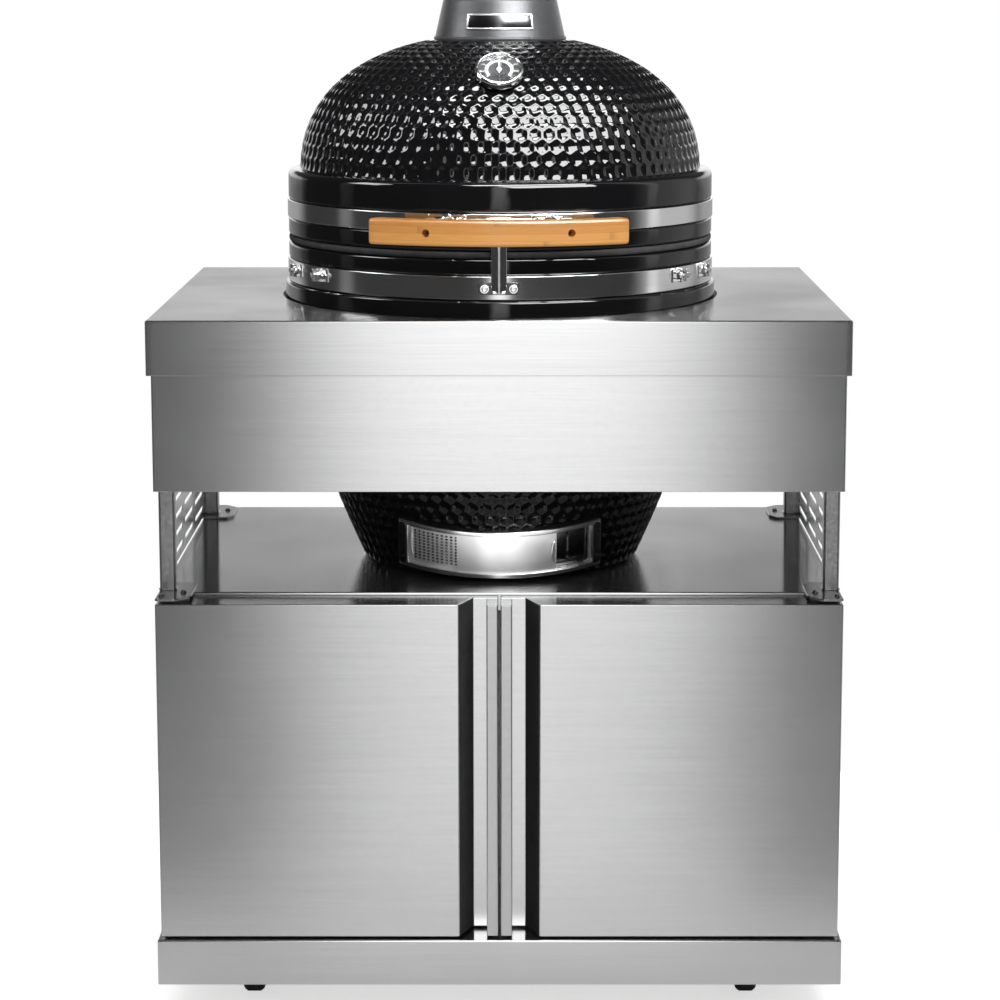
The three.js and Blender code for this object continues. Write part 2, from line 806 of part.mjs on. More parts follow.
function makeBaseShell() {
  const groove = bandGrooveRadius;
  const profile = [
    [0, bodyBottomZ],
    [bodyFootRadius - bodyFootChamfer, bodyBottomZ],
    ...bodyCurve(bodyBottomZ + bodyFootChamfer, worktopTop, 0, bodyCurveSteps),
    [bodyBulgeRadius, worktopTop + bodyBulgeTop],
    [groove, worktopTop + lowerBandBottom - seatGap],
    [groove, worktopTop + lowerBandTop + seatGap],
    [bodyRimRadius, worktopTop + lowerBandTop + bandThickness],
    [bodyRimRadius, bodyRimZ],
    [bodyRimRadius - bodyWall, bodyRimZ],
    ...bodyCurve(bodyBottomZ + bodyFloor, worktopTop, bodyWall, bodyCurveSteps).reverse(),
    [0, bodyBottomZ + bodyFloor],
  ];
  const port = box(
    -draftPortWidth / 2,
    draftPortWidth / 2,
    -bodyBulgeRadius,
    0,
    bodyBottomZ + bodyFloor,
    bodyBottomZ + bodyFloor + draftPortHeight,
  );
  const frameSeat = sector(
    draftInnerRadius - bodyWall,
    draftOuterRadius + overrun,
    -draftHalfAngle - draftGrooveEnd,
    draftHalfAngle + draftGrooveEnd,
    draftBottomZ - overrun,
    draftBottomZ + draftHeight + seatGap,
  );
  const seatKeep = cylinderZ(draftInnerRadius - seatGap, bodyBottomZ, worktopTop, 0, 0, circleSteps);
  return cut(revolved(profile), [port, leaned(frameSeat.subtract(seatKeep))]);
}

function makeBand(bottom, top) {
  return tube(bandGrooveRadius + seatGap, bandOuter, worktopTop + bottom, worktopTop + top);
}

function makeGasket() {
  const bottom = bodyRimZ + seatGap;
  return tube(bodyRimRadius - gasketWidth, bodyRimRadius - seatGap, bottom, bottom + gasketHeight);
}

// Fire pieces

function makeFirebox() {
  const bottom = bodyBottomZ + bodyFloor + seatGap;
  const top = worktopTop + fireboxTop;
  const floorUnder = bodyBottomZ + bodyFloor + fireboxFloorUnder;
  const floorZ = floorUnder + fireboxFloorThickness;
  const outerInset = bodyWall + fireboxClearance;
  const innerInset = outerInset + fireboxWall;
  const profile = closedLoop([
    ...bodyCurve(bottom, top, outerInset, fireboxCurveSteps),
    ...bodyCurve(floorZ, top, innerInset, fireboxCurveSteps).reverse(),
    [fireboxHoleRadius, floorZ],
    [fireboxHoleRadius, floorUnder],
    [bodyRadiusAt(floorUnder) - innerInset, floorUnder],
    [bodyRadiusAt(bottom) - innerInset, bottom],
  ]);
  const mouth = box(
    -fireboxMouthWidth / 2,
    fireboxMouthWidth / 2,
    -bodyBulgeRadius,
    0,
    bottom - overrun,
    bottom + fireboxMouthHeight,
  );
  return revolved(profile).subtract(mouth);
}

function makeCharcoalGrate() {
  const bottom = bodyBottomZ + bodyFloor + fireboxFloorUnder + fireboxFloorThickness + seatGap;
  const top = bottom + charcoalGrateThickness;
  const disc = cylinderZ(charcoalGrateRadius, bottom, top, 0, 0, circleSteps / 2);
  const pitch = (2 * charcoalGrateRadius) / (charcoalSlots + 1);
  const slots = [];
  for (let slot = 0; slot < charcoalSlots; slot += 1) {
    const x = (slot - (charcoalSlots - 1) / 2) * pitch;
    const reach = Math.sqrt(charcoalGrateRadius ** 2 - x ** 2) - charcoalSlotWidth;
    const half = charcoalSlotWidth / 2;
    slots.push(box(x - half, x + half, -reach, reach, bottom - overrun, top + overrun));
  }
  return cut(disc, slots);
}

function makeFireRing() {
  const bottom = worktopTop + fireboxTop + seatGap;
  const top = worktopTop + fireRingTop;
  const outer = bodyRadiusAt(bottom) - bodyWall - fireboxClearance;
  return tube(outer - fireRingWall, outer, bottom, top);
}

function makeCookingGrate() {
  const bottom = worktopTop + fireRingTop + seatGap;
  const radius = bodyRimRadius - bodyWall - grateClearance;
  const rim = tube(radius - grateWire, radius, bottom, bottom + grateWire);
  const pitch = (2 * radius) / (grateBars + 1);
  const bars = [];
  for (let bar = 0; bar < grateBars; bar += 1) {
    const x = (bar - (grateBars - 1) / 2) * pitch;
    const reach = Math.sqrt(radius ** 2 - (Math.abs(x) + grateWire) ** 2) - grateWire / 2;
    const half = grateWire / 2;
    bars.push(box(x - half, x + half, -reach, reach, bottom + seatGap, bottom + grateWire - seatGap));
  }
  return joined([rim, ...bars]);
}

// Draft door

function makeDraftFrame() {
  const bottom = draftBottomZ;
  const top = draftBottomZ + draftHeight;
  const windowHalf = draftHalfAngle - draftEndAngle;
  const block = sector(draftInnerRadius, draftOuterRadius, -draftHalfAngle, draftHalfAngle, bottom, top);
  const opening = sector(
    draftInnerRadius - overrun,
    draftOuterRadius + overrun,
    -windowHalf,
    windowHalf,
    bottom + draftRail,
    top - draftRail,
  );
  const groove = sector(
    draftGrooveInner,
    draftGrooveOuter,
    -windowHalf - draftGrooveEnd,
    windowHalf + draftGrooveEnd,
    bottom + draftGrooveDepth,
    top - draftGrooveDepth,
  );
  return leaned(cut(block, [opening, groove]));
}

function slidePlate(radius, fromDegrees, toDegrees) {
  const bottom = draftBottomZ + draftGrooveDepth + seatGap;
  const top = draftBottomZ + draftHeight - draftGrooveDepth - seatGap;
  return sector(radius, radius + draftSheet, fromDegrees, toDegrees, bottom, top, draftSteps / 2);
}

function slideTab(radius, degrees, reach) {
  const bottom = draftBottomZ + draftRail + overrun;
  const top = draftBottomZ + draftHeight - draftRail - overrun;
  return sector(radius, radius + reach, degrees - slideTabAngle, degrees, bottom, top, 2);
}

function makeDraftScreen() {
  const plate = slidePlate(screenRadius, screenFrom, screenTo);
  const pitch = (screenTo - screenFrom) / (screenSlots + 1);
  const bottom = draftBottomZ + draftRail + overrun;
  const top = draftBottomZ + draftHeight - draftRail - overrun;
  const slots = [];
  for (let slot = 1; slot <= screenSlots; slot += 1) {
    const middle = screenFrom + slot * pitch + pitch / 4;
    const half = (pitch * screenSlotShare) / 2;
    const inner = screenRadius - overrun;
    const outer = screenRadius + overrun;
    slots.push(sector(inner, outer, middle - half, middle + half, bottom, top, 1));
  }
  const tabAt = screenFrom + draftEndAngle + slideTabAngle / 2;
  return leaned(cut(plate, slots).add(slideTab(screenRadius, tabAt, screenTabReach)));
}

function makeDraftDoor() {
  const plate = slidePlate(slideRadius, slideFrom, slideTo);
  return leaned(plate.add(slideTab(slideRadius, slideTo, slideTabReach)));
}

// Dome

// A point of the dome's curve; the share runs from 0 at the bottom to 1 at the crown
function domePoint(share, inset) {
  const angle = (Math.PI / 2) * share;
  const radius = (domeRadius - inset) * Math.cos(angle) ** (2 / domePower);
  const height = (domeRise - inset) * Math.sin(angle) ** (2 / domePower);
  return [radius, worktopTop + domeCurveBottom + height];
}

// The share of the curve at which the dome is as wide as a radius
function domeShareAt(radius, inset) {
  const ratio = (radius / (domeRadius - inset)) ** (domePower / 2);
  return Math.acos(ratio) / (Math.PI / 2);
}

function domeCurve(fromShare, toShare, inset) {
  const points = [];
  for (let step = 0; step <= domeCurveSteps; step += 1) {
    points.push(domePoint(fromShare + ((toShare - fromShare) * step) / domeCurveSteps, inset));
  }
  return points;
}

// The hole that the thermometer's stem passes through, square to the dial
function stemHole() {
  const radius = thermometerStemRadius + seatGap;
  const hole = new THREE.CylinderGeometry(radius, radius, 2 * thermometerStemLength, smallSteps);
  hole.rotateX(Math.PI / 2);
  hole.rotateX(Math.PI / 2 - dialTilt);
  hole.translate(0, dialY, dialZ);
  return solidFrom(hole);
}

function makeDomeShell() {
  const rimZ = worktopTop + domeRimBottom;
  const outerEnd = domeShareAt(collarBaseRadius + domeShoulder, 0);
  const innerEnd = domeShareAt(smokeHoleRadius, domeWall);
  const profile = closedLoop([
    [domeRimRadius - bodyWall, rimZ],
    [domeRimRadius, rimZ],
    [domeRimRadius, worktopTop + upperBandBottom - bandThickness],
    [bandGrooveRadius, worktopTop + upperBandBottom - seatGap],
    [bandGrooveRadius, worktopTop + upperBandTop + seatGap],
    [domeLipRadius, worktopTop + upperBandTop + bandThickness],
    [domeLipRadius, worktopTop + domeLipTop],
    ...domeCurve(domeLipShare, outerEnd, 0),
    [collarBaseRadius, worktopTop + domeTopHeight],
    [smokeHoleRadius, worktopTop + domeTopHeight],
    ...domeCurve(0, innerEnd, domeWall).reverse(),
  ]);
  return revolved(profile).subtract(stemHole());
}

// Top vent

const collarBottomZ = worktopTop + domeTopHeight + seatGap;
const collarTopZ = collarBottomZ + collarHeight;
const neckTopZ = collarTopZ + neckHeight;

function ventWindow(turn, innerRadius, outerRadius) {
  const from = turn + ventWindowTurn - ventWindowAngle / 2;
  const bottom = collarTopZ + ventWindowMargin;
  const top = neckTopZ - ventWindowMargin;
  return sector(innerRadius, outerRadius, from, from + ventWindowAngle, bottom, top, 2);
}

function ventWindowCuts(innerRadius, outerRadius) {
  const cuts = [];
  for (let window = 0; window < ventWindows; window += 1) {
    const turn = ventWindowFirst + (window * fullTurn) / ventWindows;
    cuts.push(ventWindow(turn, innerRadius, outerRadius));
  }
  return cuts;
}

function makeChimneyCollar() {
  const profile = closedLoop([
    [smokeHoleRadius, collarBottomZ],
    [collarBaseRadius, collarBottomZ],
    [collarBaseRadius, collarBottomZ + collarFlange],
    [collarBaseRadius - collarFlange / 2, collarBottomZ + collarFlange],
    [collarTopRadius, collarTopZ],
    [neckRadius, collarTopZ],
    [neckRadius, neckTopZ],
    [neckRadius - collarWall, neckTopZ],
  ]);
  const plateZAt = collarBottomZ + collarHeight * nameplateHeightShare;
  const coneAt = collarBaseRadius + (collarTopRadius - collarBaseRadius) * nameplateHeightShare;
  const nameplate = sector(
    coneAt - collarFlange,
    coneAt + nameplateThickness,
    -THREE.MathUtils.radToDeg(nameplateWidth / 2 / coneAt),
    THREE.MathUtils.radToDeg(nameplateWidth / 2 / coneAt),
    plateZAt - nameplateHeight / 2,
    plateZAt + nameplateHeight / 2,
    smallSteps / 2,
  );
  const cuts = ventWindowCuts(smokeHoleRadius - overrun, neckRadius + overrun);
  return cut(revolved(profile).add(nameplate), cuts);
}

function makeDamperSleeve() {
  const inner = neckRadius + runningGap;
  const ring = tube(inner, inner + sleeveWall, collarTopZ + seatGap, neckTopZ);
  return cut(ring, ventWindowCuts(inner - overrun, inner + sleeveWall + overrun));
}

function makeDamperCap() {
  const bottom = neckTopZ + seatGap;
  const skirtTop = bottom + capHeight / 2;
  const crownZ = bottom + capHeight + capCrown;
  const profile = [
    [0, bottom],
    [capRadius, bottom],
    [capRadius, skirtTop],
    [capRadius - capHeight / 2, bottom + capHeight],
    [capKnobRadius, crownZ],
    [capKnobRadius / 2, crownZ + capKnobHeight / 2],
    [capKnobRadius, crownZ + capKnobHeight - capKnobRadius / 2],
    [capKnobRadius / 2, crownZ + capKnobHeight],
    [0, crownZ + capKnobHeight],
  ];
  return revolved(profile, circleSteps / 2);
}

// Thermometer, made about its own axis with the dial towards +Z and the stem going down through the dome

// How far the dome's outward direction points above level, at a share of its curve
function domeFacingAt(share) {
  const [lowRadius, lowZ] = domePoint(share - thermometerSpanShare, 0);
  const [highRadius, highZ] = domePoint(share + thermometerSpanShare, 0);
  return Math.atan2(lowRadius - highRadius, highZ - lowZ);
}

const dialSeatShare = domeShareAt(thermometerAxisRadius, 0);
const [dialSeatRadius, dialSeatZ] = domePoint(dialSeatShare, 0);
const dialTilt = domeFacingAt(dialSeatShare) - THREE.MathUtils.degToRad(thermometerLean);
const dialY = -dialSeatRadius - thermometerStandoff * Math.cos(dialTilt);
const dialZ = dialSeatZ + thermometerStandoff * Math.sin(dialTilt);

function makeThermometer() {
  const recessZ = thermometerDepth - thermometerRecess;
  const profile = [
    [0, -thermometerStemLength],
    [thermometerStemRadius, -thermometerStemLength],
    [thermometerStemRadius, 0],
    [thermometerRadius - thermometerRim, 0],
    [thermometerRadius, thermometerRim],
    [thermometerRadius, thermometerDepth - thermometerRim / 2],
    [thermometerRadius - thermometerRim / 2, thermometerDepth],
    [thermometerRadius - thermometerRim, thermometerDepth],
    [thermometerRadius - thermometerRim, recessZ],
    [thermometerHubRadius, recessZ],
    [thermometerHubRadius, thermometerDepth - runningGap],
    [0, thermometerDepth - runningGap],
  ];
  return revolved(profile, circleSteps / 2);
}

function makeThermometerPointer() {
  const bottom = thermometerDepth - thermometerRecess + runningGap;
  const top = bottom + pointerThickness;
  const half = pointerWidth / 2;
  const tip = half * pointerTipShare;
  const outline = [[-half, -pointerTail], [half, -pointerTail], [tip, pointerLength], [-tip, pointerLength]];
  const needle = plateZ(outline, bottom, top);
  const hub = cylinderZ(pointerHubRadius, bottom, top);
  const bore = cylinderZ(thermometerHubRadius + runningGap, bottom - overrun, top + overrun);
  return needle.add(hub).subtract(bore);
}

// Handle and catch

function makeWoodenHandle() {
  const halfAngle = THREE.MathUtils.radToDeg(Math.asin(handleChord / 2 / handleOuterRadius));
  const inset = handleRounding;
  const insetAngle = THREE.MathUtils.radToDeg(inset / handleOuterRadius);
  const outline = sectorOutline(
    handleOuterRadius - handleDepth + inset,
    handleOuterRadius - inset,
    -halfAngle + insetAngle,
    halfAngle - insetAngle,
    handleSteps,
  );
  const shape = new THREE.Shape(outline.map(([x, y]) => new THREE.Vector2(x, y)));
  const geometry = new THREE.ExtrudeGeometry(shape, {
    depth: handleHeight - 2 * inset,
    bevelSize: inset,
    bevelThickness: inset,
    bevelSegments: 1,
  });
  geometry.translate(0, 0, worktopTop + handleBottom + inset);
  const middleZ = worktopTop + handleBottom + handleHeight / 2;
  const sunk = sides.map((side) => {
    const radius = handleScrewRadius;
    const hole = new THREE.CylinderGeometry(radius, radius, 2 * handleScrewDepth, boltSides);
    hole.translate(0, -handleOuterRadius, middleZ);
    hole.rotateZ(THREE.MathUtils.degToRad(side.sign * handleScrewAngle));
    return solidFrom(hole);
  });
  return cut(solidFrom(geometry), sunk);
}

// One bracket, standing on the upper band at the front and turned to its place
function makeHandleBracket(side) {
  const middleZ = worktopTop + (upperBandBottom + upperBandTop) / 2;
  const footBack = -bandFacet - seatGap;
  const footFront = footBack - bracketFootThickness;
  const armFront = -(handleOuterRadius - handleDepth - seatGap);
  const footHeight = (upperBandTop - upperBandBottom) / 2;
  const armHeight = bracketHeight / 2;
  const footEdge = bracketFootWidth / 2;
  const armEdge = bracketWidth / 2;
  const foot = box(-footEdge, footEdge, footFront, footBack, middleZ - footHeight, middleZ + footHeight);
  const arm = box(-armEdge, armEdge, armFront, footBack, middleZ - armHeight, middleZ + armHeight);
  return turned(foot.add(arm), side.sign * handleScrewAngle);
}

function makeLidCatch() {
  const bandMiddle = worktopTop + (lowerBandBottom + lowerBandTop) / 2;
  const footBack = -bandOuter - seatGap;
  const footFront = footBack - catchFootThickness;
  const half = catchFootHeight / 2;
  const footEdge = catchFootWidth / 2;
  const foot = box(-footEdge, footEdge, footFront, footBack, bandMiddle - half, bandMiddle + half);
  const barBack = footFront + catchFootThickness / 2;
  const bar = box(
    -catchBarWidth / 2,
    catchBarWidth / 2,
    barBack - catchBarThickness,
    barBack,
    bandMiddle - half / 2,
    worktopTop + catchTop,
  );
  return foot.add(bar);
}

// Rear hinge

function bandPlateAtRear(bottom, top) {
  const inner = bandOuter + seatGap;
  const outer = inner + hingeBandPlate;
  const plate = sector(inner, outer, -hingePlateAngle, hingePlateAngle, bottom, top, boltSides);
  return turned(plate, fullTurn / 2);
}

// What the cheeks and arms leave free: everything inside the middle of the band plate's thickness
function bandPlateSpace() {
  const radius = bandOuter + seatGap + hingeBandPlate / 2;
  return cylinderZ(radius, worktopTop, worktopTop + domeLipTop, 0, 0, circleSteps);
}

const hingePlateRear = bandOuter + seatGap + hingeBandPlate;
const hingeFootZ = worktopTop + hingeFootAboveWorktop;

function makeRearHingeBase() {
  const plateBottom = worktopTop + lowerBandBottom + seatGap;
  const plateTop = worktopTop + lowerBandTop - seatGap;
  const plateFront = Math.cos(THREE.MathUtils.degToRad(hingePlateAngle)) * bandOuter;
  const cheek = (fromX) =>
    plateX(
      [
        [plateFront, plateBottom + bandThickness],
        [hingeRearY - hingeFootDepth, hingeFootZ],
        [hingeRearY, hingeFootZ],
        [hingeRearY, hingeFootZ + hingeFootThickness],
        [hingePinY + hingeBossRadius, pinZ],
        [hingePinY + hingeBossRadius / 2, pinZ + hingeBossRadius],
        [hingePinY - hingeBossRadius / 2, pinZ + hingeBossRadius],
        [hingePinY - hingeBossRadius, pinZ],
        [hingePinY - hingeBossRadius, plateTop],
        [plateFront, plateTop - bandThickness],
      ],
      fromX,
      fromX + hingeCheekThickness,
    );
  const cheeks = [hingeCheekInner, -hingeCheekInner - hingeCheekThickness].map(cheek);
  const foot = box(
    -hingeCheekInner - hingeCheekThickness / 2,
    hingeCheekInner + hingeCheekThickness / 2,
    hingeRearY - hingeFootDepth,
    hingeRearY,
    hingeFootZ,
    hingeFootZ + hingeFootThickness,
  );
  const bore = cylinderX(hingePinRadius + runningGap, -tableWidth, tableWidth, hingePinY, pinZ);
  const arms = cut(joined([foot, ...cheeks]), [bore, bandPlateSpace()]);
  return arms.add(bandPlateAtRear(plateBottom, plateTop));
}

function makeHingePin() {
  const half = hingeCheekInner + hingeCheekThickness + hingePinOverhang;
  return cylinderX(hingePinRadius, -half, half, hingePinY, pinZ, boltSides);
}

function makeRearHingeArm() {
  const plateBottom = worktopTop + upperBandBottom + seatGap;
  const plateTop = worktopTop + upperBandTop - seatGap;
  const tailBack = hingePinY + hingeTailReach + hingeTailDepth / 2;
  const tailFront = hingePinY + hingeTailReach - hingeTailDepth / 2;
  const tailTop = pinZ;
  const tailBottom = pinZ - hingeTailHeight;
  const outer = hingeCheekInner - runningGap;
  const arm = (fromX) =>
    plateX(
      [
        [bandOuter, plateBottom + bandThickness],
        [hingePinY - hingeBossRadius, pinZ],
        [hingePinY - hingeBossRadius / 2, pinZ - hingeBossRadius],
        [hingePinY + hingeBossRadius / 2, pinZ - hingeBossRadius],
        [tailFront, tailBottom],
        [tailBack, tailBottom],
        [tailBack, tailTop],
        [hingePlateRear, plateTop - bandThickness],
        [bandOuter, plateTop - bandThickness],
      ],
      fromX,
      fromX + hingeArmThickness,
    );
  const arms = [outer - hingeArmThickness, -outer].map(arm);
  const tail = box(-outer, outer, tailFront, tailBack, tailBottom, tailTop);
  const bore = cylinderX(hingePinRadius + runningGap, -tableWidth, tableWidth, hingePinY, pinZ);
  const levers = cut(joined([tail, ...arms]), [bore, bandPlateSpace()]);
  return levers.add(bandPlateAtRear(plateBottom, plateTop));
}

const springBottomZ = hingeFootZ + hingeFootThickness + seatGap;
const springTopZ = pinZ - hingeTailHeight - seatGap;

// The spring's centre line: straight for one wire diameter at each end, round in between
function springPoint(step) {
  const steps = springCurls * springStepsPerCurl;
  const angle = (2 * Math.PI * step) / springStepsPerCurl;
  const bottom = springBottomZ + 2 * springWire;
  const top = springTopZ - 2 * springWire;
  const height = bottom + ((top - bottom) * step) / steps;
  return new THREE.Vector3(springCoilRadius * Math.cos(angle), springCoilRadius * Math.sin(angle), height);
}

// A closed tube of straight runs between centres, with its rings square to the run of the centres
function wireTube(centres, wireRadius) {
  const rings = centres.map((centre, index) => {
    const before = centres[Math.max(index - 1, 0)];
    const after = centres[Math.min(index + 1, centres.length - 1)];
    const along = after.clone().sub(before).normalize();
    const outward = new THREE.Vector3(centre.x, centre.y, 0).normalize();
    const level = outward.sub(along.clone().multiplyScalar(outward.dot(along))).normalize();
    const across = along.clone().cross(level);
    return [...Array(springSides).keys()].map((side) => {
      const angle = (2 * Math.PI * side) / springSides;
      const point = centre.clone();
      point.addScaledVector(level, wireRadius * Math.cos(angle));
      point.addScaledVector(across, wireRadius * Math.sin(angle));
      return point;
    });
  });
  const positions = rings.flat().flatMap((point) => [point.x, point.y, point.z]);
  const triangles = [];
  for (let ring = 0; ring + 1 < rings.length; ring += 1) {
    for (let side = 0; side < springSides; side += 1) {
      const a = ring * springSides + side;
      const b = ring * springSides + ((side + 1) % springSides);
      triangles.push(a, b, a + springSides, b, b + springSides, a + springSides);
    }
  }
  const last = (rings.length - 1) * springSides;
  for (let side = 1; side + 1 < springSides; side += 1) {
    triangles.push(0, side + 1, side, last, last + side, last + side + 1);
  }
  const geometry = new THREE.BufferGeometry();
  geometry.setAttribute("position", new THREE.Float32BufferAttribute(positions, 3));
  geometry.setIndex(triangles);
  return geometry;
}

function springCentres() {
  const steps = springCurls * springStepsPerCurl;
  const turns = [...Array(steps + 1).keys()].map(springPoint);
  const first = turns[0].clone().setZ(springBottomZ);
  const last = turns[steps].clone().setZ(springTopZ);
  return [first, ...turns, last];
}

// The least gap between centre points at least half a curl apart, less the wire's own thickness
function leastSpringGap(centres) {
  let least = Infinity;
  centres.forEach((point, index) => {
    centres.slice(index + springStepsPerCurl / 2).forEach((other) => {
      least = Math.min(least, point.distanceTo(other) - springWire);
    });
  });
  return least;
}

function makeHingeSpring() {
  return solidFrom(wireTube(springCentres(), springWire / 2));
}

console.log(`least gap between spring curls: ${leastSpringGap(springCentres()).toFixed(2)} mm`);

// Assembly

const grillTable = new THREE.Group();
const { brushedSteel, polishedSteel, zincSteel, blackGlaze, fireClay, castIron } = materials;
const { bamboo, felt, rubber, blackPlastic, pointerWhite } = materials;

addPiece(grillTable, "worktop", makeWorktop(), brushedSteel);
addPiece(grillTable, "front_apron", makeFrontApron(), brushedSteel);
addPiece(grillTable, "rear_apron", makeRearApron(), brushedSteel);
addPiece(grillTable, "cabinet_top", makeCabinetTop(), brushedSteel);
addPiece(grillTable, "cabinet_back", makeCabinetBack(), brushedSteel);
addPiece(grillTable, "base_plinth", makeBasePlinth(), brushedSteel);

for (const side of sides) {
  addPiece(grillTable, `post_front_${side.name}`, onSide(side, makePost(doorFront)), brushedSteel);
  const rearPost = turned(onSide({ sign: -side.sign }, makePost(cabinetSheet - cabinetRear)), 180);
  addPiece(grillTable, `post_rear_${side.name}`, rearPost, brushedSteel);
  addPiece(grillTable, `${side.name}_vent_panel`, onSide(side, makeVentPanel()), brushedSteel);
  addPiece(grillTable, `${side.name}_side_panel`, onSide(side, makeSidePanel()), brushedSteel);
  addPiece(grillTable, `${side.name}_hinge_upper`, onSide(side, makeUpperDoorHinge()), zincSteel);
  addPiece(grillTable, `${side.name}_hinge_lower`, onSide(side, makeLowerDoorHinge()), zincSteel);
  addPiece(grillTable, `${side.name}_door`, onSide(side, makeDoor()), brushedSteel);
  addPiece(grillTable, `${side.name}_door_handle`, onSide(side, makeDoorHandle()), brushedSteel);

  const frontCaster = new THREE.Group();
  frontCaster.position.set(side.sign * casterX, -casterY, 0);
  addPiece(frontCaster, `front_caster_plate_${side.name}`, makeSwivelPlate(), zincSteel);
  addPiece(frontCaster, `front_caster_fork_${side.name}`, makeSwivelFork(), blackPlastic);
  addPiece(frontCaster, `front_wheel_${side.name}`, makeWheel(casterTrail), rubber);
  addPiece(frontCaster, `brake_pedal_${side.name}`, makeBrakePedal(), blackPlastic);
  grillTable.add(frontCaster);

  const rearCaster = new THREE.Group();
  rearCaster.position.set(side.sign * casterX, casterY, 0);
  addPiece(rearCaster, `rear_caster_bracket_${side.name}`, makeFixedBracket(), zincSteel);
  addPiece(rearCaster, `rear_wheel_${side.name}`, makeWheel(0), rubber);
  grillTable.add(rearCaster);
}

addPiece(grillTable, "base_shell", makeBaseShell(), blackGlaze);
addPiece(grillTable, "lower_band", makeBand(lowerBandBottom, lowerBandTop), polishedSteel);
addPiece(grillTable, "base_gasket", makeGasket(), felt);
addPiece(grillTable, "firebox", makeFirebox(), fireClay);
addPiece(grillTable, "fire_ring", makeFireRing(), fireClay);
addPiece(grillTable, "charcoal_grate", makeCharcoalGrate(), castIron);
addPiece(grillTable, "cooking_grate", makeCookingGrate(), polishedSteel);
addPiece(grillTable, "draft_frame", makeDraftFrame(), polishedSteel);
addPiece(grillTable, "draft_screen", makeDraftScreen(), polishedSteel);
addPiece(grillTable, "draft_door", makeDraftDoor(), polishedSteel);
addPiece(grillTable, "lid_catch", makeLidCatch(), polishedSteel);
addPiece(grillTable, "rear_hinge_base", makeRearHingeBase(), zincSteel);
addPiece(grillTable, "hinge_pin", makeHingePin(), zincSteel);

const dome = new THREE.Group();
grillTable.add(dome);
addPiece(dome, "dome_shell", makeDomeShell(), blackGlaze);
addPiece(dome, "upper_band", makeBand(upperBandBottom, upperBandTop), polishedSteel);
addPiece(dome, "rear_hinge_arm", makeRearHingeArm(), zincSteel);
addPiece(dome, "wooden_handle", makeWoodenHandle(), bamboo);
addPiece(dome, "chimney_collar", makeChimneyCollar(), castIron);
addPiece(dome, "damper_sleeve", makeDamperSleeve(), castIron);
addPiece(dome, "damper_cap", makeDamperCap(), castIron);
for (const side of sides) {
  addPiece(dome, `handle_bracket_${side.name}`, makeHandleBracket(side), polishedSteel);
  const spring = addPiece(grillTable, `hinge_spring_${side.name}`, makeHingeSpring(), zincSteel);
  spring.position.set(side.sign * springX, hingePinY + hingeTailReach, 0);
}

const dial = new THREE.Group();
dial.position.set(0, dialY, dialZ);
dial.rotation.x = Math.PI / 2 - dialTilt;
addPiece(dial, "thermometer", makeThermometer(), polishedSteel);
addPiece(dial, "thermometer_pointer", makeThermometerPointer(), pointerWhite);
dome.add(dial);

export default grillTable;
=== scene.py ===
# Kamado grill table: the finished pieces and finishes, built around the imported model
import json
import math
import bmesh
import bpy
import numpy as np
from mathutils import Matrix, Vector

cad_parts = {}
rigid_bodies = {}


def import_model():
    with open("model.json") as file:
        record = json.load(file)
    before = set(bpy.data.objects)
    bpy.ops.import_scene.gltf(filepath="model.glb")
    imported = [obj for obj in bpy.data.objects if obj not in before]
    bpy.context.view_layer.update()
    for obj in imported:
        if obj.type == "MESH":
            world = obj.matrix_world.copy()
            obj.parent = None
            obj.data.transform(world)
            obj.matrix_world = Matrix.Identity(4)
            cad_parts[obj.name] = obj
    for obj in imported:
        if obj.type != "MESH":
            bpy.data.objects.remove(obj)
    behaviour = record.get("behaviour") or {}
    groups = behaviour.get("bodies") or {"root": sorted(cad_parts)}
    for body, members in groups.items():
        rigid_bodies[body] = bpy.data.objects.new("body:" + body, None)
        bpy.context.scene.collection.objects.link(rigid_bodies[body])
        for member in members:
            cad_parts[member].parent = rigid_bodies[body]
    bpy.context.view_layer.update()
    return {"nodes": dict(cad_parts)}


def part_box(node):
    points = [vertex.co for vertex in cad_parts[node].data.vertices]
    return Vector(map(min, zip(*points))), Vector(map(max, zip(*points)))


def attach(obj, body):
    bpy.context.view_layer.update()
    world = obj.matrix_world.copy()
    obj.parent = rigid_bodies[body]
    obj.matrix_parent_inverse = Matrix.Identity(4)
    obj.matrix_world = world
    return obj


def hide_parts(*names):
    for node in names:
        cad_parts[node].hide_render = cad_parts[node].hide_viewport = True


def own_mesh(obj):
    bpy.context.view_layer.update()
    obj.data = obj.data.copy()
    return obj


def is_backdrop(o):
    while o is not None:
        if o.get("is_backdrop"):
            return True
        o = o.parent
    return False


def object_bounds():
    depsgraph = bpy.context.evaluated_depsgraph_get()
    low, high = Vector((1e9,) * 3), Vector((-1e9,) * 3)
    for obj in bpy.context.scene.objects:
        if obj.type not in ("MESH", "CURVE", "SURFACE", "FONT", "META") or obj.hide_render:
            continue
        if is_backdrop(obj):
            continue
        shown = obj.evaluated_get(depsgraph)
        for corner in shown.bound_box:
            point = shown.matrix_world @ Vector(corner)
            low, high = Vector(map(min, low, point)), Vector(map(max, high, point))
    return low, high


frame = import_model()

print("frame loaded")

# Shader nodes


# A node with its settings; an input is linked when it is another node's socket and set when it is a number.
def addNode(tree, kind, inputs=None, **settings):
    made = tree.nodes.new("ShaderNode" + kind)
    for name, value in settings.items():
        setattr(made, name, value)
    for name, value in (inputs or {}).items():
        if isinstance(value, bpy.types.NodeSocket):
            tree.links.new(value, made.inputs[name])
        else:
            made.inputs[name].default_value = value
    return made


def calc(tree, operation, *values, clamp=False):
    return addNode(tree, "Math", dict(enumerate(values)), operation=operation, use_clamp=clamp).outputs[0]


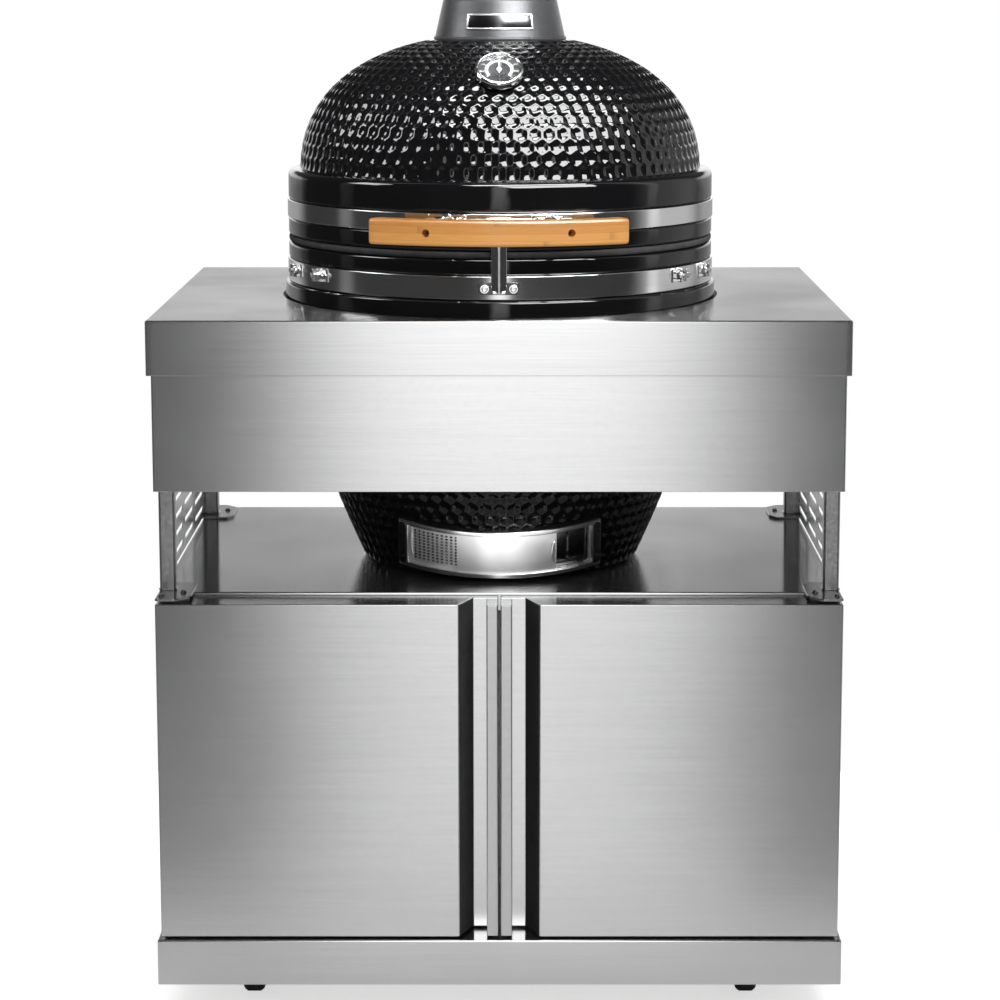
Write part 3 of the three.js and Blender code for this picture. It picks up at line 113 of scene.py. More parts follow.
def times(tree, vector, factors):
    return addNode(tree, "VectorMath", {0: vector, 1: factors}, operation="MULTIPLY").outputs[0]


def noise(tree, place, scale, detail, roughness=0.5):
    inputs = {"Vector": place, "Scale": scale, "Detail": detail, "Roughness": roughness}
    return addNode(tree, "TexNoise", inputs).outputs["Fac"]


# The value's run between two ends, laid on the run from low to high.
def remap(tree, value, fromMin, fromMax, low=0.0, high=1.0, **settings):
    inputs = {"Value": value, "From Min": fromMin, "From Max": fromMax, "To Min": low, "To Max": high}
    return addNode(tree, "MapRange", inputs, **settings).outputs[0]


def mixColour(tree, share, first, second):
    inputs = {"Factor": share, 6: first, 7: (*second, 1)}
    return addNode(tree, "Mix", inputs, data_type="RGBA").outputs[2]


# A colour that runs from dark to light as a value goes from one end to the other.
def shadeBetween(tree, value, dark, bright, fromMin=0.0, fromMax=1.0):
    return mixColour(tree, remap(tree, value, fromMin, fromMax), (*dark, 1), bright)


def roughBetween(tree, shader, value, low, high, fromMin=0.3, fromMax=0.7):
    tree.links.new(remap(tree, value, fromMin, fromMax, low, high), shader.inputs["Roughness"])


def newMaterial(name, values):
    material = bpy.data.materials.new(name)
    material.use_nodes = True
    shader = material.node_tree.nodes["Principled BSDF"]
    for socket, value in values.items():
        shader.inputs[socket].default_value = value
    place = addNode(material.node_tree, "TexCoord").outputs["Object"]
    return material, material.node_tree, shader, place


# Camera and light

view = {
    "place": (0.0199, -3.667, 1.3591),  # metres
    "tiltDown": 8.547,  # degrees below level
    "lens": 95.70,
    "sensor": 36.0,
    "shiftX": -0.0146,
    "shiftY": -0.12,
}

cameraData = bpy.data.cameras.new("camera")
cameraData.lens = view["lens"]
cameraData.sensor_width = view["sensor"]
cameraData.shift_x = view["shiftX"]
cameraData.shift_y = view["shiftY"]
cameraData.clip_end = 100
camera = bpy.data.objects.new("camera", cameraData)
camera.location = view["place"]
camera.rotation_euler = (math.radians(90 - view["tiltDown"]), 0, 0)
bpy.context.scene.collection.objects.link(camera)
bpy.context.scene.camera = camera
bpy.context.scene.view_settings.view_transform = "Standard"

# A brightness that changes with height is given as low, high, from sine and to sine of the elevation.
light = {
    "ambient": 0.55,  # what matt surfaces receive from the room
    "roomDark": (0.38, 0.045, -0.37, -0.2),  # what shiny surfaces see between the panels
    "panelBright": (0.42, 2.45, -0.31, 0.05),  # what a panel adds in its middle
    "behind": (0.42, 1.42, -0.08, 0.08),  # what they see behind the object
    "behindHigh": (1.42, 0.1, 0.16, 0.24),  # and how that falls again higher up
    "sidePanels": (0.9, 0.45),  # share that the left and right panels lack
    "rearPanel": 0.12,  # what is left of the panel behind the object
    "rightSheet": 0.62,  # a broad panel at the right, a little behind the object
    "panelEdges": (0.9, 0.995),  # cosine of four times the angle where a panel begins and where it is full
    "floorTone": (0.86, 0.86, 0.86),
    "floorMirrored": (0.74, 0.74, 0.74),
    "floorLift": 0.62,
    "floorHalf": 0.8,
}


# A rectangular lamp of size (width, height) in metres, turned from its place towards the target.
def areaLamp(name, place, target, size, power, glossOnly=False, diffuseOnly=False):
    data = bpy.data.lights.new(name, "AREA")
    data.shape = "RECTANGLE"
    data.size, data.size_y = size
    data.energy = power
    lamp = bpy.data.objects.new(name, data)
    lamp.location = place
    aim = np.subtract(target, place)
    flat = math.hypot(aim[0], aim[1])
    lamp.rotation_euler = (math.atan2(flat, -aim[2]), 0, math.atan2(-aim[0], aim[1]))
    lamp.visible_camera = False
    lamp.visible_diffuse = not glossOnly
    lamp.visible_glossy = not diffuseOnly
    bpy.context.scene.collection.objects.link(lamp)
    return lamp


# World: white for the camera and plain grey light for matt surfaces. Shiny surfaces see a dim room with
# four tall soft panels, the side and rear ones weaker, a broad sheet at the right, and the pale ground
# behind the object.
def makeRoom():
    world = bpy.data.worlds.new("room")
    bpy.context.scene.world = world
    world.use_nodes = True
    tree = world.node_tree
    tree.nodes.clear()
    path = addNode(tree, "LightPath")
    split = addNode(tree, "SeparateXYZ", {0: addNode(tree, "TexCoord").outputs["Generated"]})

    def maths(kind, *values):
        return calc(tree, kind, *values)

    def between(value, low, high, fromMin, fromMax):
        return remap(tree, value, fromMin, fromMax, low, high, interpolation_type="SMOOTHSTEP")

    x, y, z = (split.outputs[name] for name in "XYZ")
    # panel = smooth step of cos(4 a), a being the direction's angle about the vertical
    angle = maths("ARCTAN2", x, y)
    panel = between(maths("COSINE", maths("MULTIPLY", angle, 4.0)), 0.0, 1.0, *light["panelEdges"])
    # side share = 1 - x * x * lack, lack running from the left panel's to the right one's
    lack = between(x, *light["sidePanels"], -1.0, 1.0)
    side = maths("SUBTRACT", 1.0, maths("MULTIPLY", maths("MULTIPLY", x, x), lack))
    panels = maths("MULTIPLY", maths("MULTIPLY", panel, side), between(z, *light["panelBright"]))
    panels = maths("MULTIPLY", panels, between(y, 1.0, light["rearPanel"], 0.3, 0.9))
    sheet = maths(
        "MULTIPLY", between(x, 0.0, light["rightSheet"], 0.6, 0.9), between(y, 0.0, 1.0, -0.3, 0.05)
    )
    glossy = maths("ADD", maths("MAXIMUM", panels, sheet), between(z, *light["roomDark"]))
    # the pale background behind the object also shows in what reflects it
    pale = maths("MINIMUM", between(z, *light["behind"]), between(z, *light["behindHigh"]))
    behind = maths("MULTIPLY", between(y, 0.0, 1.0, 0.55, 0.8), pale)
    glossy = maths("MAXIMUM", glossy, behind)
    seen = maths("MAXIMUM", path.outputs["Is Camera Ray"], path.outputs["Is Transmission Ray"])
    matt, shiny, white = (
        addNode(tree, "Background", {"Color": (1, 1, 1, 1), "Strength": strength}).outputs[0]
        for strength in (light["ambient"], glossy, 1.0)
    )
    first = addNode(tree, "MixShader", {0: path.outputs["Is Glossy Ray"], 1: matt, 2: shiny})
    second = addNode(tree, "MixShader", {0: seen, 1: first.outputs[0], 2: white})
    addNode(tree, "OutputWorld", {0: second.outputs[0]})


makeRoom()
areaLamp("topSoftbox", (0.9, -1.9, 3.0), (0, 0, 1.1), (2.6, 1.3), 60, diffuseOnly=True)
cards = [
    areaLamp("rightCard", (1.15, -2.0, 2.9), (0.0, -0.2, 1.15), (2.3, 1.5), 240, glossOnly=True),
    areaLamp("topCard", (0.35, -0.9, 3.1), (0, -0.1, 1.2), (1.9, 0.5), 85, glossOnly=True),
    areaLamp("leftCard", (-2.4, -0.5, 2.6), (0, 0, 1.1), (0.9, 1.0), 35, glossOnly=True),
]
bayCard = areaLamp("bayCard", (0.05, -0.9, 0.3), (0, -0.23, 0.61), (1.1, 0.5), 4.5, glossOnly=True)
areaLamp("rearSoftbox", (-0.8, 2.4, 2.4), (0, 0, 1.0), (2.0, 1.2), 30, diffuseOnly=True)
print("camera and lamps set")

# Floor

# Pale matt floor, lifted towards white for the camera with its shadows kept, dimmer for shiny surfaces.
def floorMaterial():
    material, tree, shader = newMaterial(
        "paleFloor", {"Roughness": 0.9, "Specular IOR Level": 0.0, "Emission Color": (1, 1, 1, 1)}
    )[:3]
    path = addNode(tree, "LightPath")
    tone = mixColour(tree, path.outputs["Is Glossy Ray"], (*light["floorTone"], 1), light["floorMirrored"])
    tree.links.new(tone, shader.inputs["Base Color"])
    lift = calc(tree, "MULTIPLY", path.outputs["Is Camera Ray"], light["floorLift"])
    tree.links.new(lift, shader.inputs["Emission Strength"])
    return material


floorMesh = bpy.data.meshes.new("floor")
half = light["floorHalf"]
floorMesh.from_pydata(
    [(-half, -half, 0), (half, -half, 0), (half, half, 0), (-half, half, 0)], [], [(0, 1, 2, 3)]
)
floorMesh.materials.append(floorMaterial())
floorObject = bpy.data.objects.new("floor", floorMesh)
bpy.context.scene.collection.objects.link(floorObject)
floorObject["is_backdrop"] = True

# Finishes
# An effect that several finishes share is a node group; the shader itself stays in the material.


def newGroup(name, inputs, outputs):
    tree = bpy.data.node_groups.new(name, "ShaderNodeTree")
    for socketName, kind, value in inputs:
        socket = tree.interface.new_socket(socketName, in_out="INPUT", socket_type="NodeSocket" + kind)
        if value is not None:
            socket.default_value = value
    for socketName in outputs:
        tree.interface.new_socket(socketName, in_out="OUTPUT", socket_type="NodeSocketFloat")
    return tree, tree.nodes.new("NodeGroupInput"), tree.nodes.new("NodeGroupOutput")


# Brushing: noise drawn out along the map's first direction, fine lines plus broad ones.
def makeBrushing():
    tree, given, out = newGroup(
        "brushing", [("Map", "Vector", None), ("Along", "Float", 8.0), ("Across", "Float", 900.0)],
        ["Line", "Cloud"],
    )
    stretch = addNode(
        tree, "CombineXYZ", {"X": given.outputs["Along"], "Y": given.outputs["Across"], "Z": 1.0}
    )
    spot = times(tree, given.outputs["Map"], stretch.outputs[0])
    fine = noise(tree, spot, 1.0, 2.0, 0.6)
    wide = noise(tree, times(tree, spot, (0.35, 0.11, 1)), 1.0, 2.0)
    both = addNode(tree, "Mix", {"Factor": 0.35, "A": fine, "B": wide}, data_type="FLOAT")
    tree.links.new(both.outputs["Result"], out.inputs["Line"])
    tree.links.new(noise(tree, given.outputs["Map"], 4.0, 3.0), out.inputs["Cloud"])
    return tree


# Touch: soft patches where hands and cloths leave a surface a little duller, and a few thin scratches.
def makeTouch():
    tree, given, out = newGroup(
        "touchMarks", [("Place", "Vector", None), ("Size", "Float", 9.0), ("Cover", "Float", 0.5)],
        ["Patch", "Scratch"],
    )
    patch = noise(tree, given.outputs["Place"], given.outputs["Size"], 5.0)
    cut = remap(tree, patch, given.outputs["Cover"], 0.75, interpolation_type="SMOOTHSTEP")
    bent = times(tree, given.outputs["Place"], (60, 9, 60))
    cells = addNode(tree, "TexVoronoi", {"Vector": bent, "Scale": 3.0}, feature="DISTANCE_TO_EDGE")
    thin = remap(tree, cells.outputs["Distance"], 0.0, 0.012, 1.0, 0.0)
    tree.links.new(cut, out.inputs["Patch"])
    tree.links.new(calc(tree, "MULTIPLY", thin, cut), out.inputs["Scratch"])
    return tree


# Edge wear: the rim attribute, 0 on flats and 1 on tight bends, broken up by noise.
def makeEdgeWear():
    tree, given, out = newGroup("edgeWear", [("Place", "Vector", None), ("Amount", "Float", 0.5)], ["Worn"])
    rim = addNode(tree, "Attribute", attribute_name="rim").outputs["Fac"]
    chips = calc(tree, "MULTIPLY", noise(tree, given.outputs["Place"], 160.0, 4.0), rim)
    worn = calc(tree, "MULTIPLY", chips, given.outputs["Amount"], clamp=True)
    tree.links.new(worn, out.inputs["Worn"])
    return tree


# Pebbling: the small bumps of paint on a casting, of moulded plastic or of fired clay.
def makePebble():
    tree, given, out = newGroup(
        "pebble", [("Place", "Vector", None), ("Grain", "Float", 900.0)], ["Height", "Tone"]
    )
    place, grain = given.outputs["Place"], given.outputs["Grain"]
    tree.links.new(noise(tree, place, grain, 3.0), out.inputs["Height"])
    tree.links.new(noise(tree, place, calc(tree, "MULTIPLY", grain, 0.04), 4.0), out.inputs["Tone"])
    return tree


effects = {
    "brushing": makeBrushing(), "touch": makeTouch(), "edgeWear": makeEdgeWear(), "pebble": makePebble()
}


def placeEffect(tree, name, inputs):
    return addNode(tree, "Group", inputs, node_tree=effects[name])


def bumpFrom(tree, shader, height, distance):
    bump = addNode(tree, "Bump", {"Height": height, "Distance": distance, "Strength": 1.0})
    tree.links.new(bump.outputs[0], shader.inputs["Normal"])


brushed = {
    "dark": (0.6, 0.6, 0.605), "bright": (0.67, 0.67, 0.675),
    "rough": (0.165, 0.2), "anisotropic": 0.95, "along": 7.0, "across": 900.0, "bump": 0.000025,
}


# Brushed steel sheet: blurred across the brushing and sharp along it, the map's first direction.
def brushedSteel(name, settings):
    material, tree, shader, place = newMaterial(
        name, {"Metallic": 1.0, "Anisotropic": settings["anisotropic"], "Anisotropic Rotation": 0.25}
    )
    lay = addNode(tree, "UVMap", uv_map="brushed")
    lines = placeEffect(
        tree, "brushing", {"Map": lay.outputs[0], "Along": settings["along"], "Across": settings["across"]}
    )
    marks = placeEffect(tree, "touch", {"Place": place, "Size": 5.0, "Cover": 0.52})
    worn = placeEffect(tree, "edgeWear", {"Place": place, "Amount": 0.9})
    tone = shadeBetween(tree, lines.outputs["Line"], settings["dark"], settings["bright"], 0.3, 0.7)
    tone = mixColour(tree, worn.outputs["Worn"], tone, (0.74, 0.74, 0.745))
    tree.links.new(tone, shader.inputs["Base Color"])
    dull = calc(tree, "MULTIPLY_ADD", marks.outputs["Patch"], 0.06, lines.outputs["Cloud"])
    roughBetween(tree, shader, dull, *settings["rough"])
    direction = addNode(tree, "Tangent", direction_type="UV_MAP", uv_map="brushed")
    tree.links.new(direction.outputs[0], shader.inputs["Tangent"])
    bumpFrom(tree, shader, lines.outputs["Line"], settings["bump"])
    return material


# Polished or plated metal: a clean mirror with faint patches and scratches.
def plainMetal(name, dark, bright, low, high, grain=500.0, bump=0.00002):
    material, tree, shader, place = newMaterial(name, {"Metallic": 1.0})
    marks = placeEffect(tree, "touch", {"Place": place, "Size": 25.0, "Cover": 0.45})
    skin = placeEffect(tree, "pebble", {"Place": place, "Grain": grain})
    worn = placeEffect(tree, "edgeWear", {"Place": place, "Amount": 0.8})
    tone = shadeBetween(tree, skin.outputs["Tone"], dark, bright, 0.3, 0.7)
    tree.links.new(mixColour(tree, worn.outputs["Worn"], tone, bright), shader.inputs["Base Color"])
    level = calc(tree, "MAXIMUM", marks.outputs["Patch"], marks.outputs["Scratch"])
    roughBetween(tree, shader, level, low, high, 0.0, 1.0)
    bumpFrom(tree, shader, skin.outputs["Height"], bump)
    return material


# Paint, plastic, rubber, clay and bare iron: a pebbled skin whose edges wear to another colour.
def pebbledFinish(name, dark, bright, low, high, grain, bump, worn=None, wearAmount=0.0, values=None):
    material, tree, shader, place = newMaterial(name, values or {})
    skin = placeEffect(tree, "pebble", {"Place": place, "Grain": grain})
    tone = shadeBetween(tree, skin.outputs["Tone"], dark, bright, 0.3, 0.7)
    if worn:
        wear = placeEffect(tree, "edgeWear", {"Place": place, "Amount": wearAmount})
        tone = mixColour(tree, wear.outputs["Worn"], tone, worn)
    tree.links.new(tone, shader.inputs["Base Color"])
    marks = placeEffect(tree, "touch", {"Place": place, "Size": 12.0, "Cover": 0.45})
    roughBetween(tree, shader, marks.outputs["Patch"], low, high, 0.0, 1.0)
    bumpFrom(tree, shader, skin.outputs["Height"], bump)
    return material


glaze = {
    "dark": (0.0045, 0.0045, 0.0052), "bright": (0.008, 0.008, 0.009), "rough": (0.045, 0.09), "ior": 1.45,
    "wave": 0.0006,
}


# Black glaze: deep gloss with slow waves from the firing and a faint haze of handling.
def glazeFinish():
    material, tree, shader, place = newMaterial("blackGlaze", {"IOR": glaze["ior"]})
    skin = placeEffect(tree, "pebble", {"Place": place, "Grain": 420.0})
    tree.links.new(
        shadeBetween(tree, skin.outputs["Tone"], glaze["dark"], glaze["bright"]), shader.inputs["Base Color"]
    )
    marks = placeEffect(tree, "touch", {"Place": place, "Size": 7.0, "Cover": 0.5})
    roughBetween(tree, shader, marks.outputs["Patch"], *glaze["rough"], 0.0, 1.0)
    bumpFrom(tree, shader, noise(tree, place, 26.0, 1.0), glaze["wave"])
    return material


bamboo = {"dark": (0.56, 0.205, 0.028), "bright": (0.82, 0.38, 0.085), "strip": 110.0, "knuckle": 2.1}


# Bamboo: strips along the handle, each with its own tone, fine fibres and here and there a knuckle.
def bambooFinish():
    material, tree, shader = newMaterial("bamboo", {"Coat Weight": 0.5, "Coat Roughness": 0.22})[:3]
    lay = addNode(tree, "UVMap", uv_map="grain")
    split = addNode(tree, "SeparateXYZ", {"Vector": lay.outputs[0]})
    rows = calc(tree, "MULTIPLY", split.outputs["Y"], bamboo["strip"])
    own = addNode(tree, "TexWhiteNoise", {"W": calc(tree, "FLOOR", rows)}, noise_dimensions="1D")
    own = own.outputs["Value"]
    seam = remap(tree, calc(tree, "FRACT", rows), 0.0, 0.05, 1.0, 0.0)
    fibre = noise(tree, times(tree, lay.outputs[0], (30, 1900, 1)), 1.0, 4.0, 0.65)
    tone = calc(tree, "MULTIPLY_ADD", own, 0.45, fibre)
    colour = shadeBetween(tree, tone, bamboo["dark"], bamboo["bright"], 0.25, 1.0)
    run = calc(tree, "MULTIPLY_ADD", split.outputs["X"], bamboo["knuckle"], own)
    knuckle = remap(tree, calc(tree, "FRACT", run), 0.0, 0.025, 0.55, 0.0)
    dark = calc(tree, "MULTIPLY", calc(tree, "MAXIMUM", knuckle, seam), 0.7)
    tree.links.new(mixColour(tree, dark, colour, (0.28, 0.11, 0.03)), shader.inputs["Base Color"])
    roughBetween(tree, shader, fibre, 0.34, 0.5)
    bumpFrom(tree, shader, fibre, 0.00012)
    return material


def glassFinish():
    material, tree, shader, place = newMaterial(
        "dialGlass", {"Base Color": (0.97, 0.98, 0.98, 1), "Transmission Weight": 1.0, "IOR": 1.45}
    )
    marks = placeEffect(tree, "touch", {"Place": place, "Size": 60.0, "Cover": 0.5})
    roughBetween(tree, shader, marks.outputs["Patch"], 0.02, 0.06, 0.0, 1.0)
    return material


finish = {
    "brushed": brushedSteel("brushedSteel", brushed),
    "polished": plainMetal("polishedSteel", (0.72, 0.72, 0.725), (0.82, 0.82, 0.82), 0.1, 0.2),
    "satin": brushedSteel("satinSteel", {**brushed, "rough": (0.2, 0.26), "anisotropic": 0.55}),
    "zinc": plainMetal("zincSteel", (0.5, 0.5, 0.52), (0.62, 0.62, 0.63), 0.3, 0.44, 700.0, 0.00005),
    # painted shade: a darker copy of the brushed steel, so that the posts look as dim as they do under the
    # worktop
    "postSteelPaintedShade": brushedSteel("postSteelPaintedShade", {
        **brushed, "dark": (0.31, 0.31, 0.315), "bright": (0.38, 0.38, 0.385), "rough": (0.2, 0.26),
        "anisotropic": 0.55,
    }),
    # painted shade: the dark finish of the recess linings stands in for the shadow on the recess slopes
    "recess": pebbledFinish(
        "recessPaintedShade", (0.006, 0.006, 0.007), (0.014, 0.014, 0.015), 0.6, 0.75, 1500.0, 0.00005
    ),
    "bandHoop": brushedSteel("hoopSteel", {**brushed, "rough": (0.12, 0.18), "anisotropic": 0.3}),
    "blackSteel": pebbledFinish(
        "blackSteel", (0.02, 0.02, 0.023), (0.035, 0.035, 0.04), 0.35, 0.5, 1500.0, 0.00008, (0.2, 0.2, 0.2),
        0.5
    ),
    "glaze": glazeFinish(),
    "clay": pebbledFinish(
        "fireClay", (0.42, 0.33, 0.24), (0.6, 0.5, 0.38), 0.8, 0.95, 260.0, 0.0006, (0.3, 0.24, 0.19), 0.6
    ),
    "iron": pebbledFinish(
        "castIron", (0.035, 0.034, 0.034), (0.075, 0.07, 0.066), 0.5, 0.68, 620.0, 0.0003,
        (0.18, 0.17, 0.16), 0.7,
        {"Metallic": 0.6},
    ),
    "casting": pebbledFinish(
        "paintedCasting", (0.05, 0.051, 0.055), (0.075, 0.076, 0.08), 0.34, 0.46, 900.0, 0.00016,
        (0.24, 0.24, 0.25), 0.8,
        {"Metallic": 0.35},
    ),
    "bamboo": bambooFinish(),
    "felt": pebbledFinish(
        "feltGasket", (0.009, 0.009, 0.01), (0.026, 0.026, 0.028), 0.95, 1.0, 1400.0, 0.0005
    ),
    "rubber": pebbledFinish(
        "tyreRubber", (0.014, 0.014, 0.015), (0.032, 0.032, 0.033), 0.6, 0.8, 700.0, 0.0002,
        (0.08, 0.08, 0.08), 0.6,
    ),
    "plastic": pebbledFinish(
        "blackPlastic", (0.018, 0.018, 0.02), (0.032, 0.032, 0.035), 0.38, 0.52, 1800.0, 0.00008,
        (0.1, 0.1, 0.1), 0.4,
    ),
    "slide": plainMetal("slideSteel", (0.86, 0.86, 0.86), (0.94, 0.94, 0.94), 0.42, 0.5),
    "trim": plainMetal("brightTrim", (0.86, 0.86, 0.86), (0.94, 0.94, 0.94), 0.36, 0.46),
    "grate": plainMetal("grateSteel", (0.4, 0.4, 0.4), (0.52, 0.52, 0.52), 0.34, 0.46),
    "darkSteel": plainMetal("darkSteel", (0.07, 0.07, 0.075), (0.12, 0.12, 0.125), 0.2, 0.32),
    "dialWhite": pebbledFinish(
        "dialWhite", (0.72, 0.72, 0.71), (0.8, 0.8, 0.79), 0.35, 0.45, 1500.0, 0.00002
    ),
    "dialBlack": pebbledFinish(
        "dialBlack", (0.012, 0.012, 0.013), (0.022, 0.022, 0.024), 0.4, 0.5, 1500.0, 0.00002
    ),
    "glass": glassFinish(),
}
print("finishes made")

# Surfaces
# A shape is a pair: points in millimetres, and a list of arrays of faces, one row of corner numbers a face.


# Four-sided faces of a grid whose point number is row * columns + column.
def gridFaces(rows, columns, wrapColumns=False):
    row, column = np.meshgrid(
        np.arange(rows - 1), np.arange(columns if wrapColumns else columns - 1), indexing="ij"
    )
    nextRow, nextColumn = (row + 1) % rows, (column + 1) % columns
    corners = ((row, column), (row, nextColumn), (nextRow, nextColumn), (nextRow, column))
    return np.stack([r * columns + c for r, c in corners], -1).reshape(-1, 4)


# Faces of a tube of that many rings and points a ring, with its two flat ends.
def tubeFaces(rings, points):
    number = np.arange(points)[None]
    return [gridFaces(rings, points, wrapColumns=True), number[:, ::-1], (rings - 1) * points + number]


# All points one after the other; face numbers move up by the points before them.
def joinShapes(shapes):
    points, faces, count = [], [], 0
    for shapePoints, shapeFaces in shapes:
        points.append(np.asarray(shapePoints, float))
        faces += [np.asarray(f) + count for f in shapeFaces]
        count += len(shapePoints)
    return np.concatenate(points), faces


# Axes first (the rows are where x, y and z go), then a turn in degrees about Z, then the shift.
def moved(shape, shift=(0, 0, 0), turn=0.0, axes=None):
    points = np.asarray(shape[0], float)
    if axes is not None:
        points = points @ np.asarray(axes, float)
    angle = math.radians(turn)
    spin = np.array(
        [[math.cos(angle), math.sin(angle), 0], [-math.sin(angle), math.cos(angle), 0], [0, 0, 1]]
    )
    return points @ spin + np.asarray(shift, float), shape[1]


# The same shape with every x turned to -x.
def mirroredX(shape):
    return np.asarray(shape[0], float) * (-1, 1, 1), shape[1]


# Unit directions of the edges before and after each corner.
def edgeDirections(corner):
    before = corner - np.roll(corner, 1, 0)
    after = np.roll(corner, -1, 0) - corner
    before /= np.linalg.norm(before, axis=1, keepdims=True)
    after /= np.linalg.norm(after, axis=1, keepdims=True)
    return before, after


# Each corner becomes an arc that touches both edges; support adds a point that far off each end of it.
def roundedOutline(corners, radius=0.0, steps=4, support=0.0):
    corner = np.asarray(corners, float)
    before, after = edgeDirections(corner)
    cross = before[:, 0] * after[:, 1] - before[:, 1] * after[:, 0]
    turn = np.arctan2(cross, (before * after).sum(1))
    radii = np.broadcast_to(np.asarray(radius, float), len(corner))
    reach = radii * np.tan(np.abs(turn) / 2)
    start = corner - before * reach[:, None]
    inward = np.stack([-before[:, 1], before[:, 0]], 1) * np.sign(turn)[:, None]
    centre = start + inward * radii[:, None]
    angle = turn[:, None] * np.linspace(0, 1, steps + 1)
    arm = start - centre
    x = arm[:, :1] * np.cos(angle) - arm[:, 1:] * np.sin(angle)
    y = arm[:, :1] * np.sin(angle) + arm[:, 1:] * np.cos(angle)
    arcs = centre[:, None, :] + np.stack([x, y], -1)
    if support:
        first = arcs[:, :1] - before[:, None] * support
        last = arcs[:, -1:] + after[:, None] * support
        arcs = np.concatenate([first, arcs, last], 1)
    return arcs.reshape(-1, 2)


# The outline moved inwards by inset; outer corners get tighter and inner ones wider by the same amount.
def insetOutline(corners, radius, inset, steps, support=0.0):
    corner = np.asarray(corners, float)
    before, after = edgeDirections(corner)
    first = np.stack([-before[:, 1], before[:, 0]], 1)
    second = np.stack([-after[:, 1], after[:, 0]], 1)
    shift = (first + second) / (1 + (first * second).sum(1))[:, None]
    cross = before[:, 0] * after[:, 1] - before[:, 1] * after[:, 0]
    radii = np.broadcast_to(np.asarray(radius, float), len(corner))
    radii = np.maximum(np.where(cross > 0, radii - inset, radii + inset), 0.02)
    return roundedOutline(corner + shift * inset, radii, steps, support)


# Joins rings of points. A ring may be one point, a pole, or have a multiple of its neighbour's points.
def stackRings(rings, closed=False):
    starts = np.cumsum([0] + [len(r) for r in rings])
    faces = []
    count = len(rings)
    for k in range(count if closed else count - 1):
        a, b = k, (k + 1) % count
        m, n = len(rings[a]), len(rings[b])
        if m == n:
            i = np.arange(m)
            j = (i + 1) % m
            faces.append(np.stack([starts[a] + i, starts[a] + j, starts[b] + j, starts[b] + i], 1))
            continue
        fine, coarse, flip = (a, b, False) if m > n else (b, a, True)
        m, n = max(m, n), min(m, n)
        if n == 1:
            i = np.arange(m)
            fan = np.stack([starts[fine] + i, starts[fine] + (i + 1) % m, np.full(m, starts[coarse])], 1)
            faces.append(fan[:, ::-1] if flip else fan)
            continue
        share = m // n
        i = np.arange(n)
        run = [starts[fine] + (i * share + s) % m for s in range(share + 1)]
        strip = np.stack(run + [starts[coarse] + (i + 1) % n, starts[coarse] + i], 1)
        faces.append(strip[:, ::-1] if flip else strip)
    return np.concatenate(rings), faces


# Rings of equal length joined into a tube with flat ends.
def cappedRings(rings):
    return np.concatenate(rings), tubeFaces(len(rings), len(rings[0]))


# An outline as a ring at the given height.
def raised(outline, height):
    return np.column_stack([outline, np.full(len(outline), height)])


def circle(radius, height, columns):
    angle = np.linspace(0, 2 * np.pi, columns, endpoint=False)
    return np.stack([radius * np.sin(angle), -radius * np.cos(angle), np.full(columns, float(height))], 1)


# A profile of (radius, height) turned about Z; a radius of 0 is a pole.
def revolve(profile, columns=96, closed=True):
    rings = [circle(r, z, columns) if r > 1e-6 else np.array([[0.0, 0.0, z]]) for r, z in profile]
    return stackRings(rings, closed)


# A closed profile of (radius, height) swept about Z from the front, positive to the right, with flat ends.
def revolveArc(profile, fromDegrees, toDegrees, columns):
    profile = np.asarray(profile, float)
    angle = np.radians(np.linspace(fromDegrees, toDegrees, columns))[:, None]
    x, y = profile[:, 0] * np.sin(angle), -profile[:, 0] * np.cos(angle)
    points = np.stack([x, y, np.broadcast_to(profile[:, 1], x.shape)], -1).reshape(-1, 3)
    return points, tubeFaces(columns, len(profile))


# An outline raised from low to high with rounded rims: inset = edge (1 - sin a), rise = edge (1 - cos a).
def prism(corners, low, high, radius=0.0, edge=0.5, steps=4, edgeSteps=3, support=0.3):
    a = np.linspace(0, np.pi / 2, edgeSteps + 1)
    inset = edge * (1 - np.sin(a))
    rise = edge * (1 - np.cos(a))
    insets = np.concatenate([[edge + support], inset, inset[::-1], [edge + support]])
    heights = np.concatenate([[low], low + rise, high - rise[::-1], [high]])
    return cappedRings(
        [raised(insetOutline(corners, radius, d, steps, support), z) for d, z in zip(insets, heights)]
    )


def boxCorners(fromX, toX, fromY, toY):
    return [(fromX, fromY), (toX, fromY), (toX, toY), (fromX, toY)]


# A rounded block; radius rounds the upright corners.
def block(fromX, toX, fromY, toY, fromZ, toZ, edge=0.4, radius=None, steps=3):
    corners = boxCorners(fromX, toX, fromY, toY)
    return prism(corners, fromZ, toZ, edge if radius is None else radius, edge, steps)


# A round plate about Z with rounded rims; crown lifts its middle.
def disc(radius, low, high, edge=0.4, columns=24, crown=0.0):
    a = np.linspace(0, np.pi / 2, 4)
    out, rise = edge * np.sin(a), edge * (1 - np.cos(a))
    lower = [(radius - edge + o, low + r) for o, r in zip(out, rise)]
    upper = [(radius - edge + o, high - r) for o, r in zip(out[::-1], rise[::-1])]
    middle = [(radius * 0.6, high + crown * 0.75), (0, high + crown)] if crown else [(0, high)]
    return revolve([(0, low)] + lower + upper + middle, columns, closed=False)


# A six-sided head or nut, its corners cut back by a small chamfer.
def hexHead(radius, low, high):
    corners = circle(radius, 0, 6)[:, :2]
    return prism(corners, low, high, 0.3, min(0.8, (high - low) / 3), 1, 2, 0.1)


frontAxes = ((1, 0, 0), (0, 0, 1), (0, -1, 0))  # a shape made upwards now points towards the front
sideAxes = ((0, 1, 0), (0, 0, 1), (1, 0, 0))  # upwards becomes +X

# Pieces


